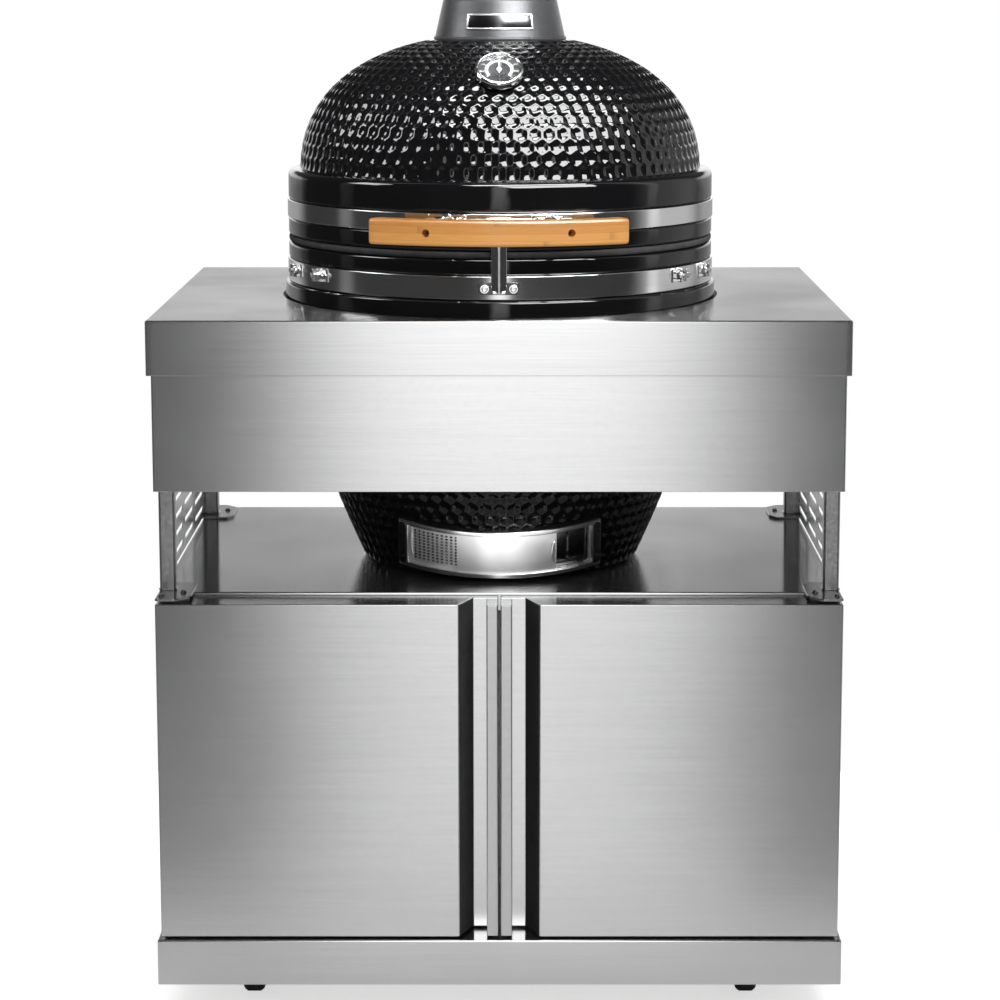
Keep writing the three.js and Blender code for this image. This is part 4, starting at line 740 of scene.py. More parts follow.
# Points in metres; equal points are merged and faces turned outwards.
def buildMesh(name, shape):
    points, faces = shape
    loops = np.concatenate([f.ravel() for f in faces]).astype(np.int32)
    sizes = np.concatenate([np.full(f.shape[0], f.shape[1]) for f in faces])
    mesh = bpy.data.meshes.new(name)
    mesh.vertices.add(len(points))
    mesh.vertices.foreach_set("co", (np.asarray(points) * 0.001).astype(np.float32).ravel())
    mesh.loops.add(len(loops))
    mesh.loops.foreach_set("vertex_index", loops)
    mesh.polygons.add(len(sizes))
    mesh.polygons.foreach_set("loop_start", np.concatenate([[0], np.cumsum(sizes)[:-1]]).astype(np.int32))
    mesh.update(calc_edges=True)
    mesh.validate()
    body = bmesh.new()
    body.from_mesh(mesh)
    bmesh.ops.remove_doubles(body, verts=body.verts, dist=2e-6)
    bmesh.ops.recalc_face_normals(body, faces=body.faces)
    body.to_mesh(mesh)
    body.free()
    markRims(mesh)
    return mesh


def readValues(items, name, width=1, kind=np.float32):
    values = np.empty(len(items) * width, kind)
    items.foreach_get(name, values)
    return values


# For each face corner the normal of its face.
def cornerNormals(mesh):
    sizes = readValues(mesh.polygons, "loop_total", kind=np.int32)
    return np.repeat(readValues(mesh.polygons, "normal", 3).reshape(-1, 3), sizes, axis=0)


# For each face corner its place in metres.
def cornerPlaces(mesh):
    corner = readValues(mesh.loops, "vertex_index", kind=np.int32)
    return readValues(mesh.vertices, "co", 3).reshape(-1, 3)[corner]


def addMap(mesh, name, u, v):
    layer = mesh.uv_layers.new(name=name)
    layer.data.foreach_set("uv", np.stack([u, v], 1).astype(np.float32).ravel())


# Rim: for each point the widest angle between faces that meet there, 0 when flat and 1 from 30 degrees on.
def markRims(mesh):
    edge = readValues(mesh.loops, "edge_index", kind=np.int32)
    total = np.zeros((len(mesh.edges), 3))
    np.add.at(total, edge, cornerNormals(mesh))
    half = np.clip(np.linalg.norm(total, axis=1) / 2, 0, 1)
    bend = 2 * np.arccos(half) / math.radians(30)
    ends = readValues(mesh.edges, "vertices", 2, np.int32)
    rim = np.zeros(len(mesh.vertices))
    np.maximum.at(rim, ends, np.repeat(bend, 2))
    mesh.attributes.new("rim", "FLOAT", "POINT").data.foreach_set(
        "value", np.clip(rim, 0, 1).astype(np.float32)
    )


# A map in metres whose first direction runs along the brushing: x on fronts and tops, y on sides.
def flatMap(mesh):
    place, facing = cornerPlaces(mesh), np.abs(cornerNormals(mesh))
    side = (facing[:, 0] > facing[:, 1]) & (facing[:, 0] > facing[:, 2])
    top = ~side & (facing[:, 2] > facing[:, 1])
    u = np.where(side, place[:, 1], place[:, 0])
    v = np.where(top, place[:, 1], place[:, 2])
    addMap(mesh, "brushed", u, v)


# The piece's own mesh is replaced by the one its modifiers make.
def bakeChange(piece, keepLayers):
    graph = bpy.context.evaluated_depsgraph_get()
    mesh = bpy.data.meshes.new_from_object(
        piece.evaluated_get(graph), preserve_all_data_layers=keepLayers, depsgraph=graph
    )
    piece.modifiers.clear()
    old = piece.data
    piece.data = mesh
    bpy.data.meshes.remove(old)
    mesh.name = piece.name
    return mesh


# Point normals weighted by face area, so that a sheet's flat face is shaded flat up to its rounded edge.
def evenShading(piece):
    change = piece.modifiers.new("even", "WEIGHTED_NORMAL")
    change.mode = "FACE_AREA"
    change.weight = 80
    change.keep_sharp = True
    bakeChange(piece, True)


# A finished piece: its mesh, finish, body and the CAD nodes that it stands for.
def addPiece(name, shape, material, body, replaces=(), sharp=40, mapping=True):
    mesh = buildMesh(name, shape)
    mesh.shade_smooth()
    mesh.set_sharp_from_angle(angle=math.radians(sharp))
    if mapping:
        flatMap(mesh)
    mesh.materials.append(material)
    piece = bpy.data.objects.new(name, mesh)
    bpy.context.scene.collection.objects.link(piece)
    if mapping:
        evenShading(piece)
    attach(piece, body)
    if replaces:
        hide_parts(*replaces)
    return piece


# Takes the cutter's shape out of a piece, for good.
def carve(piece, cutter):
    tool = bpy.data.objects.new("cutter", buildMesh("cutter", cutter))
    bpy.context.scene.collection.objects.link(tool)
    change = piece.modifiers.new("cut", "BOOLEAN")
    change.operation = "DIFFERENCE"
    change.solver = "EXACT"
    change.object = tool
    mesh = bakeChange(piece, False)
    bpy.data.objects.remove(tool)
    mesh.set_sharp_from_angle(angle=math.radians(40))


# A brushed sheet of the table that stands for one CAD node.
def tableSheet(name, shape, node):
    addPiece(name, shape, finish["brushed"], "table", (node,))


# Table sheets


# Where rays from the middle meet a rounded rectangle: its straight sides or, near a corner, its circle.
def rectangleRing(angles, halfX, halfY, corner, z, middleY=0.0):
    c, s = np.cos(angles), np.sin(angles)
    reach = np.minimum(halfX / np.maximum(np.abs(c), 1e-9), halfY / np.maximum(np.abs(s), 1e-9))
    x, y = reach * np.abs(c), reach * np.abs(s)
    centreX, centreY = halfX - corner, halfY - corner
    near = (x > centreX) & (y > centreY)
    along = np.abs(c) * centreX + np.abs(s) * centreY
    inside = np.maximum(along**2 - (centreX**2 + centreY**2 - corner**2), 0)
    reach = np.where(near, along + np.sqrt(inside), reach)
    return np.stack([reach * c, reach * s + middleY, np.full(len(angles), float(z))], 1)


def ringAngles(halfX, halfY, corner, uniform, steps):
    arc = np.linspace(0, np.pi / 2, steps + 1)
    x, y = halfX - corner + corner * np.cos(arc), halfY - corner + corner * np.sin(arc)
    first = np.arctan2(y, x)
    corners = np.concatenate([first, np.pi - first, np.pi + first, -first])
    even = np.linspace(-np.pi, np.pi, uniform, endpoint=False)
    near = np.abs(np.angle(np.exp(1j * (even[:, None] - corners[None])))).min(1) < 0.5 * np.pi / uniform
    return np.unique(np.round(np.mod(np.concatenate([even[~near], corners]), 2 * np.pi), 6))


# A sheet folded down all round like a tray turned over, open below, with or without a round hole.
def foldedTray(halfX, halfY, bottom, top, sheet, bend, hole=0.0, middleY=0.0):
    corner = 2.0
    angles = ringAngles(halfX, halfY, corner, 240, 4)
    a = np.linspace(0, np.pi / 2, 6)

    def ring(inset, z):
        return rectangleRing(angles, halfX - inset, halfY - inset, max(corner - inset, 0.3), z, middleY)

    def roundRing(radius, z):
        return np.stack(
            [radius * np.cos(angles), radius * np.sin(angles) + middleY, np.full(len(angles), float(z))], 1
        )

    under = top - sheet
    rings = [ring(bend + 0.6, top)]
    rings += [ring(bend * (1 - math.sin(t)), top - bend * (1 - math.cos(t))) for t in a]
    rings += [ring(0, bottom + 1), ring(0, bottom + 0.5), ring(0.15, bottom + 0.15), ring(0.5, bottom)]
    rings += [ring(sheet - 0.5, bottom), ring(sheet, bottom + 0.5), ring(sheet, under - bend)]
    rings += [ring(sheet + 0.3, under - 0.3), ring(sheet + bend, under)]
    if hole:
        rim = [roundRing(hole + 0.6, under), roundRing(hole, under + 0.6), roundRing(hole, top - 0.5)]
        rim += [roundRing(hole + 0.15, top - 0.15), roundRing(hole + 0.5, top), roundRing(hole + 1.5, top)]
        return stackRings(rings + rim, closed=True)
    rings = [np.array([[0.0, middleY, top]])] + rings + [np.array([[0.0, middleY, under]])]
    return stackRings(rings)


table = {
    "halfWidth": 450.0, "halfDepth": 320.0, "top": 932.0, "fasciaBottom": 861.0, "sheet": 2.0,
    "hole": 300.0, "bend": 2.6, "frameHalf": 445.0, "shelfTop": 566.0,
}

wide, deep = table["halfWidth"], table["halfDepth"]
worktop = foldedTray(
    wide, deep, table["fasciaBottom"], table["top"], table["sheet"], table["bend"], table["hole"]
)
tableSheet("worktopSheet", worktop, "worktop")
tableSheet("plinthSheet", foldedTray(wide, deep, 50, 111, table["sheet"], 2.4), "base_plinth")
shelf = foldedTray(table["frameHalf"], 286.5, 542, table["shelfTop"], 1.2, 2.2, middleY=23.5)
tableSheet("shelfSheet", shelf, "cabinet_top")

apron = {
    "front": -310.0, "back": -263.3, "bottom": 709.0, "top": 929.7, "sheet": 1.5, "bend": 2.2, "hem": 15.0,
    "flange": 30.0,
}


# A face folded back at both ends, a hem under it and a flange above it that keeps clear of the round hole.
def apronShape():
    front, back, sheet = apron["front"], apron["back"], apron["sheet"]
    outer = table["frameHalf"]
    inner = outer - sheet
    corners = [
        (-outer, front), (outer, front), (outer, back), (inner, back), (inner, front + sheet),
        (-inner, front + sheet), (-inner, back), (-outer, back),
    ]
    bend = apron["bend"]
    face = prism(corners, apron["bottom"], apron["top"], [bend, bend, 0.3, 0.3, 0.7, 0.7, 0.3, 0.3], 0.6, 5)
    hem = block(
        -inner, inner, front + sheet, front + apron["hem"], apron["bottom"], apron["bottom"] + sheet, 0.4
    )
    edge = front + apron["flange"]
    reach = math.degrees(math.acos(-edge / table["hole"]))
    turn = np.radians(np.linspace(reach, -reach, 25))
    mouth = np.stack([table["hole"] * np.sin(turn), -table["hole"] * np.cos(turn)], 1)
    outline = [
        (-inner, front + sheet), (inner, front + sheet), (inner, edge), *map(tuple, mouth), (-inner, edge)
    ]
    flange = prism(outline, apron["top"] - sheet, apron["top"], 0.1, 0.3, 1, 2, 0.1)
    return joinShapes([face, hem, flange])


tableSheet("frontApronSheet", apronShape(), "front_apron")
tableSheet("rearApronSheet", moved(apronShape(), turn=180), "rear_apron")

post = {
    "outer": 445.0, "size": 21.0, "wall": 2.0, "front": -263.0, "foot": 45.0, "chamfer": 17.0, "top": 929.7,
    "plateLow": 566.3, "plateHigh": 569.3,
}


# A square tube with rounded corners, hollow from the foot plate up; the weld runs round its foot.
def postShape(plateFront):
    outer, size, front, top = post["outer"], post["size"], post["front"], post["top"]
    low, high = post["plateLow"], post["plateHigh"]
    inner, back, cut = outer - post["foot"], front + size + 26, post["chamfer"]
    corners = [
        (outer, plateFront), (outer, back), (inner + cut / 2, back), (inner, back - cut),
        (inner, plateFront + cut),
        (inner + cut, plateFront),
    ]
    plate = prism(corners, low, high, [3, 3, 3, 3, 9, 9], 0.7, 5)
    box = boxCorners(outer - size, outer, front, front + size)
    wall = post["wall"]
    profile = (
        (0, high - 1), (0, top - 0.7), (0.25, top - 0.25), (0.7, top), (wall - 0.4, top), (wall, top - 0.4),
        (wall, high + 0.5),
    )
    tube = cappedRings([raised(insetOutline(box, 3.0, inset, 5, 0.3), z) for inset, z in profile])
    bead = ((0, -0.2), (1.3, -0.2), (1.7, 0.5), (1.3, 1.3), (0, 1.7))
    weld = stackRings(
        [raised(insetOutline(box, 3.0, -out, 5, 0.3), high + rise) for out, rise in bead], closed=True
    )
    screw = joinShapes(
        [disc(4.6, high, high + 0.9, 0.4, 20), disc(3.4, high + 0.5, high + 2.6, 0.9, 20, 0.5)]
    )
    screws = [moved(screw, (outer - x, y, 0)) for x, y in ((6.1, plateFront + 20), (32.5, plateFront + 40))]
    return joinShapes([plate, tube, weld, *screws])


for side, sign in (("Left", -1), ("Right", 1)):
    for end, plateFront, nodeEnd in (("Front", -316.0, "front"), ("Rear", -308.8, "rear")):
        shape = postShape(plateFront)
        if sign < 0:
            shape = mirroredX(shape)
        if end == "Rear":
            shape = np.asarray(shape[0]) * (1, -1, 1), shape[1]
        node = f"post_{nodeEnd}_{side.lower()}"
        # the posts get the darker copy of the brushed steel, painted shade
        addPiece(f"post{end}{side}", shape, finish["postSteelPaintedShade"], "table", (node,))

vent = {
    "columns": 4, "rows": 6, "length": 95.0, "height": 8.0, "firstY": -234.7, "firstZ": 580.6,
    "pitchY": 118.0, "pitchZ": 24.0,
}


# A sheet with holes: the plane is cut into cells, each hole outline is joined to the square of its own cell.
def holedPlate(edgesU, edgesV, holes, steps=16):
    edgesU, edgesV = np.asarray(edgesU, float), np.asarray(edgesV, float)
    parts = []
    for i, (fromU, toU) in enumerate(zip(edgesU[:-1], edgesU[1:])):
        for j, (fromV, toV) in enumerate(zip(edgesV[:-1], edgesV[1:])):
            hole = holes.get((i, j))
            corner = np.array([(fromU, fromV), (toU, fromV), (toU, toV), (fromU, toV)])
            if hole is None:
                parts.append((corner, [np.array([[0, 1, 2, 3]])]))
                continue
            centreU, centreV, halfU, halfV, radius = hole
            box = boxCorners(centreU - halfU, centreU + halfU, centreV - halfV, centreV + halfV)
            loop = roundedOutline(box, radius, steps // 4)
            share = len(loop) // 4
            inner = []
            for k in range(4):
                run = 4 + np.arange(k * share, (k + 1) * share)
                after = 4 + ((k + 1) * share) % (4 * share)
                fan = np.stack([np.full(share - 1, k), run[1:], run[:-1]], 1)
                inner.append(fan)
                inner.append(np.array([[k, (k + 1) % 4, after, run[-1]]]))
            parts.append((np.concatenate([corner, loop]), inner))
    return joinShapes(parts)


# A flat sheet at two depths with walls along every open edge; place takes (u, v, depth) to space.
def thickened(flat, depth, place):
    points, faces = flat
    rounded, index = np.unique(np.round(points, 4), axis=0, return_inverse=True)
    index = index.ravel()
    faces = [index[f] for f in faces]
    edges = np.concatenate([np.stack([f.ravel(), np.roll(f, -1, 1).ravel()], 1) for f in faces])
    key = edges[:, 0] * len(rounded) + edges[:, 1]
    back = edges[:, 1] * len(rounded) + edges[:, 0]
    border = edges[~np.isin(key, back)]
    count = len(rounded)
    walls = np.stack([border[:, 0], border[:, 0] + count, border[:, 1] + count, border[:, 1]], 1)
    both = [f + count for f in faces] + [f[:, ::-1] for f in faces] + [walls[:, ::-1]]
    u = np.concatenate([rounded[:, 0], rounded[:, 0]])
    v = np.concatenate([rounded[:, 1], rounded[:, 1]])
    w = np.repeat([0.0, depth], count)
    return place(u, v, w), both


def ventShape():
    low, high, front = 569.6, 929.7, -241.7
    edgesU, edgesV, holes = [front], [low], {}
    for column in range(vent["columns"]):
        edgesU.append(vent["firstY"] + column * vent["pitchY"] - 3)
        edgesU.append(vent["firstY"] + column * vent["pitchY"] + vent["length"] + 3)
    edgesU.append(-front)
    for row in range(vent["rows"]):
        edgesV.append(vent["firstZ"] + row * vent["pitchZ"] - 3)
        edgesV.append(vent["firstZ"] + row * vent["pitchZ"] + vent["height"] + 3)
    edgesV.append(high)
    for column in range(vent["columns"]):
        for row in range(vent["rows"]):
            centreU = vent["firstY"] + column * vent["pitchY"] + vent["length"] / 2
            centreV = vent["firstZ"] + row * vent["pitchZ"] + vent["height"] / 2
            holes[(2 * column + 1, 2 * row + 1)] = (
                centreU, centreV, vent["length"] / 2, vent["height"] / 2, 3.9
            )
    flat = holedPlate(edgesU, edgesV, holes, 24)
    return thickened(flat, 1.5, lambda u, v, w: np.stack([443.5 + w, u, v], 1))


tableSheet("ventPanelRight", ventShape(), "right_vent_panel")
tableSheet("ventPanelLeft", mirroredX(ventShape()), "left_vent_panel")

cabinet = {
    "outer": 443.5, "sheet": 1.2, "flange": 22.0, "front": -261.5, "rear": 308.5, "bottom": 111.3,
    "top": 564.5,
}


# Cabinet side: a wall with a flange turned in at its front and rear edges.
def sideShape():
    outer, sheet, front, rear = cabinet["outer"], cabinet["sheet"], cabinet["front"], cabinet["rear"]
    lip, inner = outer - cabinet["flange"], outer - sheet
    corners = [
        (outer, front), (outer, rear), (lip, rear), (lip, rear - sheet), (inner, rear - sheet),
        (inner, front + sheet),
        (lip, front + sheet), (lip, front),
    ]
    radii = [1.8, 1.8, 0.2, 0.2, 0.6, 0.6, 0.2, 0.2]
    return prism(corners, cabinet["bottom"], cabinet["top"], radii, 0.4, 4)


tableSheet("cabinetSideRight", sideShape(), "right_side_panel")
tableSheet("cabinetSideLeft", mirroredX(sideShape()), "left_side_panel")
rearSheet = block(-442, 442, 305.8, 307.0, cabinet["bottom"], cabinet["top"], 0.3)
tableSheet("cabinetRearSheet", rearSheet, "cabinet_back")

door = {
    "front": -316.0, "back": -267.0, "bottom": 114.5, "top": 562.0, "outer": 445.0, "inner": 1.75,
    "mouth": 52.5, "floor": 35.0, "recess": 40.0, "bend": 2.0, "barRight": 16.5,
}


def doorShape():
    front, back, recess = door["front"], door["back"], door["front"] + door["recess"]
    corners = [
        (door["outer"], front), (door["outer"], back), (door["inner"], back), (door["inner"], recess),
        (door["floor"], recess), (door["mouth"], front),
    ]
    skin = prism(corners, door["bottom"], door["top"], [door["bend"], 1.2, 0.6, 0.6, 1.6, 1.6], 1.2, 5)
    magnets = [
        block(door["inner"] + 24, door["inner"] + 64, back - 0.4, back + 1.6, low, low + 20, 0.5)
        for low in (door["top"] - 55, door["bottom"] + 35)
    ]
    return joinShapes([skin, *magnets])


def barShape():
    return block(
        door["inner"], door["barRight"], door["front"], door["front"] + door["recess"] - 0.3, 115.5, 561.0,
        0.9, 1.3, 4,
    )


for side, sign in (("Left", -1), ("Right", 1)):
    leaf, bar = doorShape(), barShape()
    if sign < 0:
        leaf, bar = mirroredX(leaf), mirroredX(bar)
    body = f"{side.lower()}_door_leaf"
    addPiece(f"doorLeaf{side}", leaf, finish["brushed"], body, (f"{side.lower()}_door",))
    addPiece(f"doorBar{side}", bar, finish["satin"], body, (f"{side.lower()}_door_handle",))


# A thin dark lining on the slope of the finger recess, as deep as the recess and a hair proud of the leaf:
# painted shade, a dark sheet that stands in for the shadow in the recess.
def shadeLiningShape():
    front, recess = door["front"], door["front"] + door["recess"]
    near, far = np.array((door["mouth"] - 0.9, front + 1.6)), np.array((door["floor"] - 0.1, recess - 0.2))
    side = np.array((near[1] - far[1], far[0] - near[0]))
    side *= 0.5 / np.linalg.norm(side)
    corners = [tuple(near + side), tuple(near - side), tuple(far - side), tuple(far + side)]
    turned = sum(corners[k][0] * corners[k - 3][1] - corners[k - 3][0] * corners[k][1] for k in range(4))
    return prism(
        corners if turned > 0 else corners[::-1], door["bottom"] + 1.5, door["top"] - 1.5, 0.15, 0.1, 2, 2,
        0.1,
    )


# painted shade: a dark lining on each door's recess slope
for side, sign in (("Left", -1), ("Right", 1)):
    lining = shadeLiningShape() if sign > 0 else mirroredX(shadeLiningShape())
    addPiece(f"recessLining{side}", lining, finish["recess"], f"{side.lower()}_door_leaf")
print("table and cabinet made")

# Grill body and dome


# An open path whose inner corners are rounded; the first and last points stay.
def roundedPath(points, radii, steps=4):
    arcs = roundedOutline(points, [0.0, *radii, 0.0], steps).reshape(len(points), steps + 1, 2)
    return np.concatenate([arcs[0, :1], arcs[1:-1].reshape(-1, 2), arcs[-1, :1]])


pits = {"pitch": 18.6, "row": 16.6, "reach": 0.56, "depth": 2.7, "power": 1.5}


# Pit depth where a surface of revolution is cut by rows of round pits. Each row holds a whole number of
# pits, every other row is turned by half a pit, and depth = deepest * (1 - q * q) ^ power, where
# q = distance / pit radius.
def pitDepth(turn, radius, run, firstRow, lastRow, rowRadius):
    rows = np.arange(firstRow, lastRow + pits["row"] / 2, pits["row"])
    counts = np.round(2 * np.pi * rowRadius(rows) / pits["pitch"])
    nearest = np.round((run - firstRow) / pits["row"]).astype(int)
    depth = np.zeros(np.broadcast_shapes(turn.shape, run.shape))
    for step in (-1, 0, 1):
        row = nearest + step
        valid = (row >= 0) & (row < len(rows))
        row = np.clip(row, 0, len(rows) - 1)
        count = counts[row]
        spot = turn / (2 * np.pi) * count - 0.5 * (row % 2)
        across = (spot - np.round(spot)) / count * 2 * np.pi * radius
        q = np.hypot(across, run - rows[row]) / (pits["pitch"] * pits["reach"])
        depth = np.maximum(
            depth, np.where(valid & (q < 1), pits["depth"] * np.maximum(1 - q * q, 0) ** pits["power"], 0)
        )
    return depth


# Rings of a pitted wall: points of the curve are pushed in along the curve's inward normal.
def pittedRings(curve, columns, firstRow, lastRow):
    curve = np.asarray(curve, float)
    step = np.hypot(*np.diff(curve, axis=0).T)
    run = np.concatenate([[0], np.cumsum(step)])
    slope = np.gradient(curve, run, axis=0)
    inward = np.stack([-slope[:, 1], slope[:, 0]], 1)
    turn = np.linspace(0, 2 * np.pi, columns, endpoint=False)[None]
    radius, height = curve[:, :1], curve[:, 1:]
    depth = pitDepth(turn, radius, run[:, None], firstRow, lastRow, lambda s: np.interp(s, run, curve[:, 0]))
    r = radius + inward[:, :1] * depth
    z = height + inward[:, 1:] * depth
    return np.stack([r * np.sin(turn), -r * np.cos(turn), z], -1)


kamado = {
    "floorZ": 566.3, "worktopZ": 932.0, "bulge": 296.0, "taper": 106.0, "power": 1.6, "wall": 25.0,
    "inside": 586.3,
    "columns": 640, "portHalf": 51, "portBottom": 586.3, "portTop": 619.3, "seatTurn": 38.2,
    "seatRadius": 198.7, "seatTop": 629.8,
}


# Body radius = bulge - taper * ((932 - z) / 365.7) ^ 1.6 below the worktop.
def bodyRadius(z):
    below = np.maximum(kamado["worktopZ"] - z, 0) / (kamado["worktopZ"] - kamado["floorZ"])
    return kamado["bulge"] - kamado["taper"] * below ** kamado["power"]


def bodyShape():
    columns, wall = kamado["columns"], kamado["wall"]
    rows = np.linspace(573, 930, 112)
    for fixed in (kamado["portBottom"], kamado["portTop"], kamado["seatTop"] - 0.1):
        rows[np.argmin(np.abs(rows - fixed))] = fixed
    rows = np.sort(np.append(rows, kamado["seatTop"] + 0.1))
    wallRings = pittedRings(np.stack([bodyRadius(rows), rows], 1), columns, 6.0, 346.0)
    turn = np.degrees(np.arctan2(wallRings[..., 0], -wallRings[..., 1]))
    reach = np.hypot(wallRings[..., 0], wallRings[..., 1])
    beside = (np.abs(turn) < kamado["seatTurn"]) & (reach > kamado["seatRadius"])
    seat = beside & (wallRings[..., 2] < kamado["seatTop"])
    share = np.where(seat, kamado["seatRadius"] / reach, 1)
    wallRings[..., 0] *= share
    wallRings[..., 1] *= share
    wallRings[..., 2] = np.where(seat, rows[:, None], wallRings[..., 2])
    floorZ = kamado["floorZ"]
    rings = [np.array([[0.0, 0.0, floorZ]]), circle(70, floorZ, 40), circle(140, floorZ, 160)]
    foot = roundedPath([(178, floorZ), (187.5, floorZ), (float(bodyRadius(571.5)), 571.5)], [5.0], 5)
    rings += [circle(r, z, columns) for r, z in foot]
    firstWall = len(rings)
    rings += list(wallRings)
    top = roundedPath(
        [
            (296, 933), (296, 952), (289, 954.7), (289, 985.3), (291, 988), (291, 1007), (266, 1007),
            (266, 990),
        ],
        [4.0, 1.2, 1.2, 1.5, 4.0, 5.0], 5,
    )
    rings += [circle(r, z, columns) for r, z in top]
    inner = np.append(np.linspace(972, kamado["portTop"], 10), kamado["inside"])
    firstInner = len(rings)
    rings += [circle(float(bodyRadius(z)) - wall, z, columns) for z in inner]
    rings += [
        circle(140, kamado["inside"], 160), circle(70, kamado["inside"], 40),
        np.array([[0.0, 0.0, kamado["inside"]]]),
    ]
    points, faces = stackRings(rings)
    starts = np.cumsum([0] + [len(r) for r in rings])
    outerLow = firstWall + int(np.argmin(np.abs(rows - kamado["portBottom"])))
    outerHigh = firstWall + int(np.argmin(np.abs(rows - kamado["portTop"])))
    innerHigh, innerLow = firstInner + 9, firstInner + 10
    half = kamado["portHalf"]
    gone = np.arange(-half, half) % columns
    for strip in [*range(outerLow, outerHigh), innerHigh]:
        faces[strip] = np.delete(faces[strip], gone, axis=0)
    after = (gone + 1) % columns
    for outer, inside in ((outerLow, innerLow), (outerHigh, innerHigh)):
        faces.append(
            np.stack(
                [starts[outer] + gone, starts[outer] + after, starts[inside] + after, starts[inside] + gone],
                1,
            )
        )
    for column in (-half % columns, half):
        out = [starts[k] + column for k in range(outerLow, outerHigh + 1)]
        faces.append(np.array([out + [starts[innerHigh] + column, starts[innerLow] + column]]))
    return points, faces


addPiece(
    "grillBody", bodyShape(), finish["glaze"], "table", ("base_shell",), sharp=50,
    mapping=False,
)
print("grill body made")

domeForm = {
    "radius": 275.0, "rise": 190.0, "base": 1097.0, "power": 2 / 2.3, "wall": 22.0, "start": 1107.0,
    "neck": 96.0,
    "columns": 800, "rowStep": 2.7, "smokeHole": 64.0, "top": 1279.0,
}


# Dome curve: radius = 275 cos(a) ^ (2 / 2.3), height = 1097 + 190 sin(a) ^ (2 / 2.3), less the inset.
def domeCurve(a, inset=0.0):
    r = (domeForm["radius"] - inset) * np.cos(a) ** domeForm["power"]
    z = domeForm["base"] + (domeForm["rise"] - inset) * np.sin(a) ** domeForm["power"]
    return np.stack([r, z], -1)


def domeShape():
    columns = domeForm["columns"]
    fine = domeCurve(np.linspace(0.02, np.pi / 2 - 0.01, 4000))
    fine = fine[(fine[:, 1] >= domeForm["start"]) & (fine[:, 0] >= domeForm["neck"])]
    run = np.concatenate([[0], np.cumsum(np.hypot(*np.diff(fine, axis=0).T))])
    at = np.linspace(0, run[-1], int(run[-1] / domeForm["rowStep"]))
    curve = np.stack([np.interp(at, run, fine[:, 0]), np.interp(at, run, fine[:, 1])], 1)
    wallRings = pittedRings(curve, columns, 9.0, run[-1] - 6)
    thin = int(np.argmax(curve[:, 0] < 140))
    rim = roundedPath(
        [(266, 1022), (266, 1017), (291, 1017), (291, 1038), (289, 1040.7), (289, 1065.3), (291, 1068),
         (291, 1104.5),
         (277.5, 1106), (275.3, 1107)],
        [3.0, 4.0, 1.5, 1.2, 1.2, 1.5, 10.0, 3.0], 6,
    )
    rings = [circle(r, z, columns) for r, z in rim]
    rings += list(wallRings[:thin]) + [ring[::2] for ring in wallRings[thin:]]
    hole, top = domeForm["smokeHole"], domeForm["top"]
    crown = roundedPath([(94.5, 1279.2), (hole + 2, top), (hole, top - 9), (hole, top - 17)], [0.5, 1.0], 2)
    rings += [circle(r, z, 200) for r, z in crown]
    inside = domeCurve(np.linspace(np.pi / 2 - 0.2, 0.0, 22), domeForm["wall"])
    inside = inside[inside[:, 0] > hole + 2]
    rings += [circle(hole, inside[0, 1] + 1, 200)] + [circle(r, z, 200) for r, z in inside]
    rings += [circle(255, 1080, 200), circle(263, 1040, 200)]
    return stackRings(rings, closed=True)


addPiece(
    "domeShell", domeShape(), finish["glaze"], "dome_lid", ("dome_shell",), sharp=50,
    mapping=False,
)


# A flat steel hoop with eased edges.
def hoopShape(bottom, top):
    return revolve(roundedOutline(boxCorners(289.3, 292.3, bottom, top), 0.9, 4), 240)


addPiece(
    "upperHoop", hoopShape(1041, 1065), finish["bandHoop"], "dome_lid", ("upper_band",)
)
addPiece("lowerHoop", hoopShape(955, 985), finish["bandHoop"], "table", ("lower_band",))
gasketLoop = roundedOutline(boxCorners(271, 290.7, 1007.3, 1016.3), 3.5, 4)
addPiece(
    "feltGasket", revolve(gasketLoop, 200), finish["felt"], "table", ("base_gasket",), mapping=False
)
print("dome and hoops made")

handle = {
    "inner": 331.0, "outer": 355.0, "bottom": 1029.0, "top": 1062.0, "middle": 1045.5, "chord": 332.0,
    "round": 4.0, "screws": 15.0, "screwSeat": 340.2,
}


# A bar bent about the grill's axis, both ends eased; its map runs along the bend, then round the section.
def handleShape():
    box = boxCorners(handle["inner"], handle["outer"], handle["bottom"], handle["top"])
    half = math.asin(handle["chord"] / 2 / handle["outer"])
    ease = np.linspace(0, np.pi / 2, 5)
    insets = handle["round"] * (1 - np.sin(ease))
    shifts = handle["round"] * (1 - np.cos(ease)) / handle["outer"]
    stations = [(-half + s, d) for s, d in zip(shifts, insets)]
    stations += [(t, 0.0) for t in np.linspace(-half, half, 66)[2:-2]]
    stations += [(half - s, d) for s, d in zip(shifts[::-1], insets[::-1])]
    rings = []
    for turn, inset in stations:
        loop = insetOutline(box, handle["round"] + 0.2, inset, 4, 0.4)
        rings.append(np.stack([loop[:, 0] * np.sin(turn), -loop[:, 0] * np.cos(turn), loop[:, 1]], 1))
    return cappedRings(rings)


# The handle's map in metres: along = angle * middle radius, across = height + distance from the axis.
def arcMap(mesh, radius):
    place = cornerPlaces(mesh)
    turn = np.arctan2(place[:, 0], -place[:, 1])
    addMap(mesh, "grain", turn * radius, place[:, 2] + np.hypot(place[:, 0], place[:, 1]))


handlePiece = addPiece(
    "bambooHandle", handleShape(), finish["bamboo"], "dome_lid", ("wooden_handle",), sharp=35,
    mapping=False
)
screwHoles = [
    moved(moved(disc(5.0, 341.0, 362.0, 0.6, 28), axes=frontAxes, shift=(0, 0, handle["middle"])), turn=turn)
    for turn in (-handle["screws"], handle["screws"])
]
carve(handlePiece, joinShapes(screwHoles))
arcMap(handlePiece.data, 0.343)

# Fasteners and fittings


